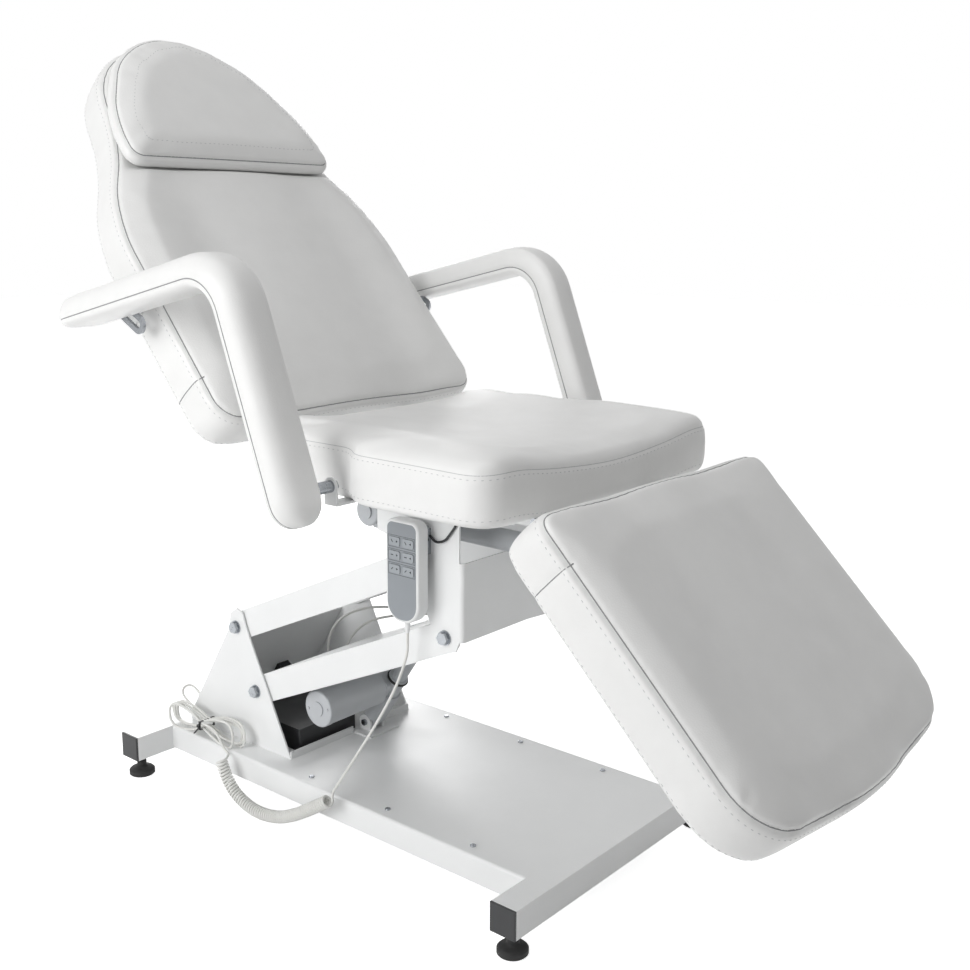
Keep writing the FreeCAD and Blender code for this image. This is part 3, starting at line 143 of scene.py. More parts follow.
@dataclass(frozen=True)
class Finish:
    """One real material, made from nodes on Object coordinates.

    The relief is a fine pattern with a real width and depth, and broad soft patches lead the colour
    and the gloss between two values.
    """

    name: str
    colour: str
    patch_colour: str
    gloss: Pair
    grain_mm: float
    relief_mm: float
    pattern: Pattern = Pattern.STIPPLED
    patch_mm: float = 60.0
    ripple_mm: float = 0.0
    metallic: float = 0.0
    sheen: float = 0.0

    def relief(self, tree: NodeTree, place: NodeSocket) -> NodeSocket:
        """Adds the fine pattern.

        Args:
            tree: the material's node tree.
            place: the Object coordinates.

        Returns:
            The socket with the pattern's height.
        """
        scale = 1.0 / (self.grain_mm * MM)
        if self.pattern is Pattern.PEBBLED:
            return set_node(tree, "ShaderNodeTexVoronoi", {"Vector": place, "Scale": scale, "Smoothness": 0.6},
                            feature="SMOOTH_F1").outputs["Distance"]
        if self.pattern is Pattern.GRAINED:
            bands = {"Vector": place, "Scale": scale / 20.0, "Distortion": 6.0, "Detail": 3.0}
            return set_node(tree, "ShaderNodeTexWave", bands).outputs["Fac"]
        specks = {"Vector": place, "Scale": scale, "Detail": 2.0}
        if self.pattern is Pattern.BRUSHED:
            drawn = set_node(tree, "ShaderNodeMapping", {"Vector": place, "Scale": (0.06, 1.0, 1.0)})
            specks = {"Vector": drawn.outputs["Vector"], "Scale": scale, "Detail": 3.0}
        return set_node(tree, "ShaderNodeTexNoise", specks).outputs["Fac"]

    def material(self) -> Material:
        """Builds the material once.

        Returns:
            The Blender material of this finish.
        """
        made = bpy.data.materials.get(self.name)
        if made is not None:
            return made
        made = bpy.data.materials.new(self.name)
        made.use_nodes = True
        tree = made.node_tree
        place = set_node(tree, "ShaderNodeTexCoord").outputs["Object"]
        cloud = {"Vector": place, "Scale": 1.0 / (self.patch_mm * MM), "Detail": 3.0, "Roughness": 0.55}
        patches = set_node(tree, "ShaderNodeTexNoise", cloud).outputs["Fac"]
        tone = set_node(tree, "ShaderNodeMix", {
            "Factor": patches, "A": linear(self.colour), "B": linear(self.patch_colour)}, data_type="RGBA")
        polish = set_node(tree, "ShaderNodeMapRange", {
            "Value": patches, "From Min": 0.3, "From Max": 0.7,
            "To Min": self.gloss[0], "To Max": self.gloss[1]})
        fine = {"Strength": 0.5, "Distance": self.relief_mm * MM, "Height": self.relief(tree, place)}
        if self.ripple_mm > 0.0:
            broad = {"Strength": 0.6, "Distance": self.ripple_mm * MM, "Height": patches}
            fine["Normal"] = set_node(tree, "ShaderNodeBump", broad).outputs["Normal"]
        set_node(tree, "Principled BSDF", {
            "Base Color": tone.outputs["Result"], "Roughness": polish.outputs["Result"],
            "Normal": set_node(tree, "ShaderNodeBump", fine).outputs["Normal"],
            "Metallic": self.metallic, "Sheen Weight": self.sheen})
        return made


# White polyurethane leatherette, embossed: a low pebble grain that softens every highlight, and faint
# ripples where the cover is drawn over foam. The real grain is about 1 mm wide and is drawn twice that to show.
LEATHERETTE = Finish("polyurethane_leatherette_white", "#EFEFEE", "#E7E7E6", (0.36, 0.46), 2.2, 0.22,
                     Pattern.PEBBLED, 55.0, 1.1, sheen=0.06)
# Painted shade: the same cover folded into a seam sees little light, so a soft grey tube laid in the crease
# paints that shadow.
SEAM_SHADE = Finish("leatherette_seam_painted_shade", "#8E8F90", "#858687", (0.55, 0.65), 2.0, 0.2, Pattern.PEBBLED)
# Painted shade, faint: a flat seam pressed into a taut cover casts only a slight shadow, painted as a tube
# barely darker than the cover itself.
SEAM_SHADE_FAINT = Finish("leatherette_pressed_seam_painted_shade", "#C3C4C5", "#BBBCBD", (0.5, 0.6), 2.0, 0.2, Pattern.PEBBLED)
# Bonded polyester thread: small pale grey dashes with a silky twist.
THREAD = Finish("polyester_thread", "#C9CACB", "#BFC0C2", (0.45, 0.55), 0.6, 0.1)
# Epoxy powder coat on sheet steel: a smooth satin white with a faint orange peel 3 mm wide.
POWDER_COAT = Finish("powder_coated_steel_white", "#F0F1F1", "#EAEBEB", (0.28, 0.36), 3.0, 0.05, patch_mm=90.0)
# Zinc plate on steel: a cool bright grey, brushed by the rolling and slightly uneven in gloss.
ZINC_PLATE = Finish("zinc_plated_steel", "#A9ACB0", "#8F9398", (0.18, 0.32), 0.5, 0.03, Pattern.BRUSHED, 14.0,
                    metallic=1.0)
# Hard chrome on the rods under the seat: near mirror bright with the finest turning lines.
CHROME_ROD = Finish("hard_chromed_rod", "#D9DBDD", "#CDD0D3", (0.08, 0.16), 0.4, 0.01, Pattern.BRUSHED, 20.0,
                    metallic=1.0)
# Black ABS, spark-eroded: a dull fine stipple that keeps its highlights broad.
BLACK_ABS = Finish("moulded_abs_black", "#1E1F21", "#252628", (0.42, 0.52), 0.9, 0.05)
# Black rubber of the feet and the lift tube's wiper ring: matt, a little dusty.
RUBBER = Finish("moulded_rubber_black", "#191919", "#232323", (0.68, 0.8), 1.4, 0.08)
# Light grey lacquer on the motor's can, the gearbox and the actuators' tubes: satin, a little uneven.
GREY_LACQUER = Finish("lacquered_motor_can_grey", "#BFC2C5", "#B4B7BB", (0.3, 0.4), 2.4, 0.05)
# Birch plywood of the boards: warm pale grain under a thin seal.
PLYWOOD = Finish("birch_plywood", "#CDB48C", "#BFA27A", (0.5, 0.62), 6.0, 0.08, Pattern.GRAINED)
# White ABS of the handset and the cord's gland: even, softly glossy from the mould.
WHITE_ABS = Finish("moulded_abs_white", "#EBECEC", "#E5E6E6", (0.3, 0.38), 0.8, 0.03)
# Printed polyester membrane on the handset: a flat mid grey with a fine mist.
MEMBRANE = Finish("printed_polyester_membrane", "#8F9499", "#888D92", (0.34, 0.42), 0.7, 0.03)
# The membrane's raised keys: a paler grey.
KEY_CAP = Finish("moulded_key_grey", "#9FA4A9", "#989DA2", (0.32, 0.4), 0.7, 0.03)
# Dark grey screen-printed ink of the handset's signs.
INK = Finish("screen_ink_dark_grey", "#33373C", "#2D3035", (0.45, 0.5), 0.6, 0.02)
# White PVC cord jacket: an even satin with slight handling marks.
CORD_JACKET = Finish("pvc_cord_jacket_white", "#E6E6E3", "#DCDCD8", (0.36, 0.46), 1.2, 0.04, patch_mm=25.0)
# Black nylon of the hank's tie: smooth and dark.
NYLON = Finish("nylon_tie_black", "#17181A", "#1F2022", (0.4, 0.5), 0.8, 0.04)

SLOT_FINISH: dict[str, Finish] = {
    "white_leatherette": LEATHERETTE, "white_paint": POWDER_COAT, "zinc_steel": ZINC_PLATE,
    "bright_rod": CHROME_ROD, "black_plastic": BLACK_ABS, "black_rubber": RUBBER, "grey_actuator": GREY_LACQUER,
    "plywood": PLYWOOD, "white_plastic": WHITE_ABS, "grey_panel": MEMBRANE, "key_plastic": KEY_CAP,
    "white_cable": CORD_JACKET,
}


def link(obj: Object) -> Object:
    """Puts an object in the scene and gives it back."""
    bpy.context.scene.collection.objects.link(obj)
    return obj


def mesh_object(name: str, bm: BMesh) -> Object:
    """Makes an object of a bmesh and frees it.

    Args:
        name: the piece's name.
        bm: the shape, used up here.

    Returns:
        The object, in the scene.
    """
    mesh = bpy.data.meshes.new(name)
    bm.to_mesh(mesh)
    bm.free()
    return link(bpy.data.objects.new(name, mesh))


def evaluated_mesh(obj: Object) -> Mesh:
    """The object's mesh with its modifiers applied, or a curve's as a mesh."""
    bpy.context.view_layer.update()
    graph = bpy.context.evaluated_depsgraph_get()
    return bpy.data.meshes.new_from_object(obj.evaluated_get(graph), depsgraph=graph)


def apply_modifiers(obj: Object) -> None:
    """Replaces the object's mesh by the one its modifiers give."""
    made = evaluated_mesh(obj)
    obj.modifiers.clear()
    obj.data = made


def finish_piece(obj: Object, finish: Finish, body: str) -> None:
    """Dresses a piece, sets it on its body and reports it.

    Args:
        obj: the piece, with its place in its mesh.
        finish: its material.
        body: the CAD body it moves with, or nothing where it crosses a joint.
    """
    obj.data.materials.clear()
    obj.data.materials.append(finish.material())
    if obj.type == "MESH":
        obj.data.shade_smooth()
    if body:
        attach(obj, body)
    log.info("%s on %s", obj.name, body or "two bodies")


def curve_object(name: str, kind: str, points: Line, radius: float, sides: int = 3,
                 closed: bool = False) -> Object:
    """Draws a curve with a round jacket.

    Args:
        name: the curve's name.
        kind: NURBS for a smooth line led by its points, POLY for one through them.
        points: the route, in metres.
        radius: the jacket's radius, or 0 for a bare line.
        sides: the jacket's bevel resolution, 2 giving eight sides.
        closed: whether the line joins its ends.

    Returns:
        The curve object, in the scene.
    """
    data = bpy.data.curves.new(name, "CURVE")
    data.dimensions = "3D"
    data.resolution_u = 12
    data.bevel_depth = radius
    data.bevel_resolution = sides
    data.use_fill_caps = not closed
    line = data.splines.new(kind)
    line.points.add(len(points) - 1)
    for place, point in zip(line.points, points):
        place.co = (*point, 1.0)
    line.use_cyclic_u = closed
    if kind == "NURBS":
        line.order_u = 3
        line.use_endpoint_u = True
    return link(bpy.data.objects.new(name, data))


def route_points(points: Line) -> list[Vector]:
    """Reads a route's smooth curve.

    Args:
        points: the route.

    Returns:
        Points on the curve.
    """
    bare = curve_object("route", "NURBS", points, 0.0)
    mesh = evaluated_mesh(bare)
    found = [v.co.copy() for v in mesh.vertices]
    bpy.data.meshes.remove(mesh)
    bpy.data.objects.remove(bare)
    return found


def spaced(points: Line, step: float, closed: bool = False) -> list[Vector]:
    """Points at even steps along a line.

    Args:
        points: the line's points in order.
        step: the wanted distance, in metres.
        closed: whether the line joins its ends.

    Returns:
        The even points, both ends kept on an open line.
    """
    line = list(points) + ([points[0]] if closed else [])
    runs = [(b - a).length for a, b in zip(line, line[1:])]
    total = sum(runs)
    count = max(2, round(total / step))
    found, at, walked = [], 0, 0.0
    for i in range(count if closed else count + 1):
        want = total * i / count
        while at < len(runs) - 1 and walked + runs[at] < want:
            walked += runs[at]
            at += 1
        share = (want - walked) / runs[at] if runs[at] > 0 else 0.0
        found.append(line[at].lerp(line[at + 1], min(1.0, share)))
    return found


def line_length(points: Line) -> float:
    """The length of a line of points."""
    return sum((b - a).length for a, b in zip(points, points[1:]))


def tube_mesh(name: str, points: Line, radius: float, sides: int, closed: bool = False) -> Object:
    """A tube along points, as a mesh.

    Args:
        name: the tube's name.
        points: its middle line.
        radius: its radius, in metres.
        sides: the curve's bevel resolution.
        closed: whether the tube is a ring.

    Returns:
        The mesh object, in the scene.
    """
    drawn = curve_object(name + "_line", "POLY", points, radius, sides, closed)
    mesh = evaluated_mesh(drawn)
    bpy.data.objects.remove(drawn)
    mesh.name = name
    return link(bpy.data.objects.new(name, mesh))


def surface_tree(obj: Object) -> BVHTree:
    """A search tree of the object's own mesh."""
    return BVHTree.FromPolygons([v.co for v in obj.data.vertices], [p.vertices for p in obj.data.polygons])


def cast(tree: BVHTree, rays: Iterable[Ray]) -> list[Ray]:
    """Where rays meet a cover, with the normals there and without the rays that miss."""
    hits = [tree.ray_cast(*ray) for ray in rays]
    return [hit[:2] for hit in hits if hit[0] is not None]


def sunk(hits: Sequence[Ray], depth: float = 0.0) -> list[Vector]:
    """Places on a cover, set in by a depth in millimetres."""
    return [place - normal * (depth * MM) for place, normal in hits]


def crease(obj: Object, line: Line, depth: float, reach: float) -> None:
    """Draws the cover in along a seam.

    Args:
        obj: the cover.
        line: the seam's points, close together.
        depth: how deep the seam lies, in millimetres.
        reach: how far to each side the cover is drawn in.
    """
    near = KDTree(len(line))
    for i, point in enumerate(line):
        near.insert(point, i)
    near.balance()
    for v in obj.data.vertices:
        away = near.find(v.co)[2] / (reach * MM)
        if away < 3.0:
            v.co -= v.normal * (depth * MM * exp(-away ** 2))
    obj.data.update()


def stitch_row(name: str, hits: Sequence[Ray]) -> Object:
    """A row of thread stitches on a cover.

    Args:
        name: the row's name.
        hits: places and normals along the row.

    Returns:
        One mesh with every stitch.
    """
    bm = bmesh.new()
    size = Matrix.Diagonal((STITCH_LENGTH / 2, STITCH_WIDTH / 2, STITCH_WIDTH / 2, 1.0))
    walked = STITCH_PITCH
    for (a, normal), (b, _) in zip(hits, hits[1:]):
        walked += (b - a).length
        if walked < STITCH_PITCH:
            continue
        walked = 0.0
        along = (b - a).normalized()
        side = normal.cross(along).normalized()
        turn = Matrix((along, side, normal)).transposed().to_4x4()
        lie = Matrix.Translation(a) @ turn @ size
        ops.create_uvsphere(bm, u_segments=6, v_segments=4, radius=1.0, matrix=lie)
    return mesh_object(name, bm)


def inflate(obj: Object, cap: float, held_below: float) -> None:
    """Swells a closed cover with cloth under pressure and keeps the result.

    Args:
        obj: the cover, replaced by its swollen shape.
        cap: how far a point may move, in metres.
        held_below: points under this height stay where they are.
    """
    held = obj.vertex_groups.new(name=CLOTH["vertex_group_mass"])
    held.add([v.index for v in obj.data.vertices if v.co.z < held_below], 1.0, "REPLACE")
    before = [v.co.copy() for v in obj.data.vertices]
    foam = obj.modifiers.new("foam", "CLOTH")
    for name, value in CLOTH.items():
        setattr(foam.settings, name, value)
    foam.settings.effector_weights.gravity = 0.0
    foam.collision_settings.use_collision = False
    foam.point_cache.frame_start = 1
    foam.point_cache.frame_end = CLOTH_FRAMES
    for moment in range(1, CLOTH_FRAMES + 1):
        bpy.context.scene.frame_set(moment)
    apply_modifiers(obj)
    bpy.context.scene.frame_set(1)
    for v, rest in zip(obj.data.vertices, before):
        move = v.co - rest
        if move.length > cap:
            v.co = rest + move * (cap / move.length)
    obj.vertex_groups.clear()
    obj.data.update()


def soften(obj: Object, rounds: int, strength: float) -> None:
    """Evens out a mesh.

    Args:
        obj: the mesh object.
        rounds: how many passes.
        strength: how far each point goes towards its neighbours.
    """
    bm = bmesh.new()
    bm.from_mesh(obj.data)
    for _ in range(rounds):
        ops.smooth_vert(bm, verts=bm.verts, factor=strength, use_axis_x=True, use_axis_y=True, use_axis_z=True)
    bm.to_mesh(obj.data)
    bm.free()


def subdivide(obj: Object) -> None:
    """Applies one level of smooth subdivision."""
    smooth = obj.modifiers.new("smooth", "SUBSURF")
    smooth.levels = smooth.render_levels = 1
    apply_modifiers(obj)


@dataclass(frozen=True)
class Swell:
    """A soft hill or hollow of a cushion's face, in shares of its half width and length."""

    across: float
    along: float
    reach_across: float
    reach_along: float
    height: float

    def at(self, across: float, along: float) -> float:
        """Its height at a place, the same on both sides of the middle."""
        a, b = (abs(across) - self.across) / self.reach_across, (along - self.along) / self.reach_along
        return self.height * exp(-a * a - b * b)


@dataclass
class Cushion:
    """A foam cushion in a sewn cover: a crowned face, a seam round its rim and a bowed boxing.

    Sizes are in millimetres in the cushion's own frame, face up, before it is tilted about its hinge.
    A corner of the right half has its place and how far its rounding runs. A cross seam climbs the boxing
    beside a point of the outline, and beyond flat_from another cushion presses the face flat.
    """

    name: str
    node: str
    body: str
    corners: Sequence[Point]
    low: float
    seam: float
    crown: float
    hinge: Pair = (0.0, 0.0)
    tilt: float = 0.0
    roll: float = 20.0
    foot_roll: float = 4.0
    bulge: float = 4.5
    voxel: float = 8.0
    cap: float = 8.0
    pinned_under: float = 5.0
    eased: int = 1
    fill: float = 0.8
    swells: Sequence[Swell] = ()
    cross_seams: Sequence[Pair] = ()
    cross_from: float = 6.0
    stitch_drop: float = 14.0
    seam_drop: float = 0.0
    seam_slant: float = 0.7
    seam_depth: float = 2.6
    seam_half: float = 1.0
    # The grey tube laid in the rim and cross seams: painted shade standing in for the crease's shadow.
    seam_shade: Finish = SEAM_SHADE
    hem: Optional[float] = 12.0
    flat_from: Optional[float] = None
    outline: list[Vector] = field(default_factory=list)

    def matrix(self) -> Matrix:
        """Where the cushion's own frame lies in the row frame."""
        return Matrix.Translation(spot(0.0, *self.hinge)) @ Matrix.Rotation(radians(self.tilt), 4, "X")

    def plan(self) -> BMesh:
        """Draws the outline as one rounded face.

        Returns:
            A bmesh with the face at the cushion's underside.
        """
        bm = bmesh.new()
        ring = [(Vector((x, y, self.low)), rounding) for x, y, rounding in self.corners]
        ring += [(Vector((-p.x, p.y, p.z)), r) for p, r in reversed(ring) if p.x > 0.0]
        bm.faces.new([bm.verts.new(p * MM) for p, _ in ring])
        for p, rounding in ring:
            corner = min(bm.verts, key=lambda v: (v.co - p * MM).length)
            ops.bevel(bm, geom=[corner], offset=rounding * MM, segments=10, affect="VERTICES", **ROUNDED)
        bm.faces.ensure_lookup_table()
        self.outline = spaced([loop.vert.co.copy() for loop in bm.faces[0].loops], 5.0 * MM, closed=True)
        return bm

    def slab(self) -> Object:
        """Raises the plan to a slab with a rolled rim and remeshes it evenly.

        Returns:
            The slab, before its face is shaped.
        """
        bm = self.plan()
        top = (self.seam + 0.45 * self.crown) * MM
        for v in ops.extrude_face_region(bm, geom=bm.faces[:])["geom"]:
            if isinstance(v, BMVert):
                v.co.z = top
        ops.holes_fill(bm, edges=[e for e in bm.edges if e.is_boundary])
        ops.recalc_face_normals(bm, faces=bm.faces)
        for level, size in ((top, self.roll), (self.low * MM, self.foot_roll)):
            rim = [e for e in bm.edges if all(abs(v.co.z - level) < 1e-6 for v in e.verts)]
            ops.bevel(bm, geom=rim, offset=size * MM, segments=5, affect="EDGES", **ROUNDED)
        made = mesh_object(self.name, bm)
        even = made.modifiers.new("even", "REMESH")
        even.mode = "VOXEL"
        even.voxel_size = self.voxel * MM
        apply_modifiers(made)
        soften(made, 3, 0.5)
        return made

    def lift(self, point: Vector) -> float:
        """How far the hills and hollows raise the face.

        Args:
            point: a place on the face.

        Returns:
            The rise there, in metres.
        """
        half = max(x for x, _, _ in self.corners) * MM
        ends = [y * MM for _, y, _ in self.corners]
        along = (point.y - min(ends)) / (max(ends) - min(ends))
        return MM * sum(s.at(point.x / half, along) for s in self.swells)

    def shape_face(self, obj: Object) -> None:
        """Raises the hills and sinks the hollows of the face, and bows the boxing out between its seams.

        Args:
            obj: the cushion's mesh object.
        """
        middle, top = 0.5 * (self.low + self.seam) * MM, self.seam * MM
        aways = [Vector((v.normal.x, v.normal.y, 0.0)) for v in obj.data.vertices]
        for v, away in zip(obj.data.vertices, aways):
            height = (v.co.z - middle) / (top - middle)
            level = min(1.0, abs(height))
            v.co += away * (self.bulge * MM * (1.0 - 0.75 * level * level))
            if height > 0.0:
                v.co.z += self.lift(v.co) * level * level * (3.0 - 2.0 * level)
        obj.data.update()

    def rim_aims(self, drop: float, slant: float = 0.0) -> list[Ray]:
        """Rays from outside the outline onto the boxing, or slanting onto the rim.

        Args:
            drop: how far under the seam they run, in millimetres.
            slant: how steeply they fall, 0 for level rays.

        Returns:
            One ray for each outline point.
        """
        ahead = self.outline[1:] + self.outline[:1]
        turn = sum(a.x * b.y - b.x * a.y for a, b in zip(self.outline, ahead))
        found = []
        for i, point in enumerate(self.outline):
            run = ahead[i] - self.outline[i - 1]
            out = Vector((run.y, -run.x, 0.0)).normalized() * copysign(1.0, turn)
            level = Vector((point.x, point.y, (self.seam - drop) * MM + self.lift(point)))
            way = (-out - Vector((0.0, 0.0, slant))).normalized()
            found.append((level - way * (60.0 * MM), way))
        return found

    def cross_aims(self, seam: Pair) -> list[Ray]:
        """Rays onto the boxing along a seam that climbs it.

        Args:
            seam: the point of the outline beside it.

        Returns:
            Rays from the underside to the rim.
        """
        aims = self.rim_aims(0.0)
        start, way = aims[min(range(len(aims)), key=lambda i: (self.outline[i].xy - Vector(seam) * MM).length)]
        low, steps = self.low + self.cross_from, 16
        heights = [(low + (self.seam - low) * i / steps) * MM for i in range(steps + 1)]
        return [(Vector((*start.xy, z)), way) for z in heights]

    def sew_on(self, piece: Object, finish: Finish) -> None:
        """Tilts a piece of the cushion into place and dresses it."""
        piece.data.transform(self.matrix())
        finish_piece(piece, finish, self.body)

    def sew(self, cover: Object) -> None:
        """Draws the cover in along its seams, lays grey tubes of painted shade in their creases and adds the
        stitches.

        Args:
            cover: the cushion's cover, before it is tilted.
        """
        tree = surface_tree(cover)
        rim_aims = self.rim_aims(self.seam_drop, self.seam_slant)
        folds = [self.cross_aims(s) for s in self.cross_seams]
        crossings = [sunk(cast(tree, aims)) for aims in folds]
        crease(cover, sunk(cast(tree, rim_aims)), self.seam_depth, 4.5)
        for line in crossings:
            crease(cover, line, 1.6, 4.0)
        tree = surface_tree(cover)
        half = self.seam_half * MM
        # The seam tubes are painted shade: grey lines in the creases stand in for the shadow there.
        self.sew_on(tube_mesh(self.name + "_rim_seam_shade", sunk(cast(tree, rim_aims), 0.2), half, 1, True),
                    self.seam_shade)
        for i, aims in enumerate(folds):
            name = "%s_cross_seam_%d" % (self.name, i + 1)
            self.sew_on(tube_mesh(name, sunk(cast(tree, aims), 0.3), half, 1), self.seam_shade)
        rows = [("_rim_stitches", self.stitch_drop)]
        if self.hem is not None:
            rows.append(("_hem_stitches", self.seam - self.low - self.hem))
        for ending, drop in rows:
            self.sew_on(stitch_row(self.name + ending, cast(tree, self.rim_aims(drop))), THREAD)

    def build(self) -> None:
        """Makes the cushion with its seams and stitches."""
        cover = self.slab()
        self.shape_face(cover)
        inflate(cover, self.cap * MM, (self.seam - self.pinned_under) * MM)
        soften(cover, self.eased, 0.35)
        if self.flat_from is not None:
            for v in cover.data.vertices:
                if v.co.y > self.flat_from * MM:
                    v.co.z = min(v.co.z, (self.seam + 0.4) * MM)
        subdivide(cover)
        self.sew(cover)
        self.sew_on(cover, LEATHERETTE)
        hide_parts(self.node)


def extend(bm: BMesh, edges: list[BMEdge], place: Callable[[Vector], Vector]) -> list[BMEdge]:
    """Extrudes a section by one row.

    Args:
        bm: the shape.
        edges: its last section.
        place: gives each point's new place.

    Returns:
        The new last section.
    """
    made = ops.extrude_edge_only(bm, edges=edges)["geom"]
    for v in made:
        if isinstance(v, BMVert):
            v.co = place(v.co)
    return [g for g in made if isinstance(g, BMEdge)]


def outward(way: Vector) -> Vector:
    """The direction of a pad's outer face where the pad runs in a given direction."""
    return Vector((0.0, way.z, -way.y))


@dataclass(frozen=True)
class PadPath:
    """A pad's middle line: a straight arm, a bend about an axis across, and a straight leg."""

    arm: Ends
    leg: Ends
    first: Vector
    second: Vector
    middle: Vector
    angle: float


@dataclass
class Armrest:
    """A padded armrest: a level arm, a round bend and a leg, crowned outside and flatter underneath."""

    body: str
    side: float
    middle_x: float = 363.0
    half_width: float = 38.0
    outer: float = 28.0
    inner: float = 24.0
    seam_level: float = -9.0
    rear: Pair = (400.3, 850.9)
    corner: Pair = (-8.4, 945.7)
    foot: Pair = (-146.0, 587.0)
    bend: float = 75.0
    flat_inside: float = 0.3
    flat_outside: float = 0.75
    flat_under: float = 0.72
    sides: int = 32
    arm_rows: int = 34
    bend_rows: int = 12
    leg_rows: int = 28
    cap_rows: int = 7

    def path(self) -> PadPath:
        """The pad's middle line, its ends set in by half its width.

        Returns:
            Both straights, their directions, and the bend's middle and angle.
        """
        rear, corner, foot = (spot(self.side * self.middle_x, *p) for p in (self.rear, self.corner, self.foot))
        first, second = (corner - rear).normalized(), (foot - corner).normalized()
        angle = first.angle(second)
        inset, cut = self.half_width * MM, self.bend * MM * tan(angle / 2.0)
        middle = corner + (second - first).normalized() * (self.bend * MM / cos(angle / 2.0))
        arm, leg = (rear + first * inset, corner - first * cut), (corner + second * cut, foot - second * inset)
        return PadPath(arm, leg, first, second, middle, angle)

    def section(self, bm: BMesh, at: Vector, way: Vector) -> list[BMEdge]:
        """Draws the pad's cross section.

        Args:
            bm: the pad, still empty.
            at: the section's middle.
            way: the direction the pad runs in.

        Returns:
            The section's edges.
        """
        for v in ops.create_circle(bm, segments=self.sides, radius=1.0)["verts"]:
            across, up = v.co.x, v.co.y
            flat = self.flat_inside if across * self.side < 0.0 else self.flat_outside
            across = copysign(abs(across) ** flat, across)
            depth = (self.inner + self.seam_level) * abs(up) ** self.flat_under
            height = self.seam_level + ((self.outer - self.seam_level) * up if up > 0.0 else -depth)
            v.co = at + ALONG_X * (across * self.half_width * MM) + outward(way) * (height * MM)
        return bm.edges[:]

    def close(self, bm: BMesh, edges: list[BMEdge], way: Vector) -> None:
        """Closes an end with a tongue-shaped cap.

        Args:
            bm: the pad.
            edges: the end's section.
            way: outwards.
        """
        verts = list(dict.fromkeys(v for e in edges for v in e.verts))
        middle = sum((v.co for v in verts), Vector()) / len(verts)
        out = outward(way)
        wide, tall = 1.0, 1.0
        for i in range(1, self.cap_rows + 1):
            angle = radians(84.0 * i / self.cap_rows)
            tip = middle + way * (self.half_width * MM * sin(angle))
            narrow, low = cos(angle) / wide, (0.45 + 0.55 * cos(angle)) / tall
            edges = extend(bm, edges, lambda p: (
                tip + ALONG_X * ((p - middle).x * narrow) + out * ((p - middle).dot(out) * low)))
            wide, tall = wide * narrow, tall * low
        ops.holes_fill(bm, edges=edges)

    def seam_aims(self) -> list[Ray]:
        """Rays onto the pad's widest line, right round it.

        Returns:
            Rays in order round the pad.
        """
        path, step = self.path(), 8.0 * MM
        line = [(p, path.first) for p in spaced(path.arm, step)]
        for i in range(1, 16):
            turn = Matrix.Rotation(path.angle * i / 16.0, 3, "X")
            line.append((path.middle + turn @ (path.arm[1] - path.middle), turn @ path.first))
        line += [(p, path.second) for p in spaced(path.leg, step)]
        fan = [pi * i / 16.0 for i in range(1, 16)]
        rays = [(at, way, ALONG_X) for at, way in line]
        rays += [(path.leg[1], path.second, ALONG_X * cos(a) + path.second * sin(a)) for a in fan]
        rays += [(at, way, -ALONG_X) for at, way in reversed(line)]
        rays += [(path.arm[0], path.first, -ALONG_X * cos(a) - path.first * sin(a)) for a in fan]
        level, away = self.seam_level * MM, 90.0 * MM
        return [(at + outward(way) * level + out * away, -out) for at, way, out in rays]

    def build(self) -> None:
        """Makes the pad with its seam."""
        path = self.path()
        bm = bmesh.new()
        start = edges = self.section(bm, path.arm[0], path.first)
        for _ in range(self.arm_rows):
            edges = extend(bm, edges, lambda p: p + (path.arm[1] - path.arm[0]) / self.arm_rows)
        spun = ops.spin(bm, geom=edges, cent=path.middle, axis=ALONG_X, angle=path.angle, steps=self.bend_rows,
                        use_merge=False, use_duplicate=False)["geom_last"]
        edges = [g for g in spun if isinstance(g, BMEdge)]
        for _ in range(self.leg_rows):
            edges = extend(bm, edges, lambda p: p + (path.leg[1] - path.leg[0]) / self.leg_rows)
        self.close(bm, edges, path.second)
        self.close(bm, start, -path.first)
        ops.remove_doubles(bm, verts=bm.verts, dist=1e-5)
        ops.recalc_face_normals(bm, faces=bm.faces)
        cover = mesh_object(self.body + "_cover", bm)
        subdivide(cover)
        aims = self.seam_aims()
        crease(cover, spaced(sunk(cast(surface_tree(cover), aims)), 2.0 * MM, True), 1.8, 3.0)
        line = sunk(cast(surface_tree(cover), aims), 0.3)
        # The seam tube is painted shade: a grey line in the crease stands in for the shadow there.
        seam_shade_tube = tube_mesh(self.body + "_cover_seam_shade", line, 1.0 * MM, 1, True)
        finish_piece(seam_shade_tube, SEAM_SHADE, self.body)
        finish_piece(cover, LEATHERETTE, self.body)
        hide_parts(self.body + "_pad")


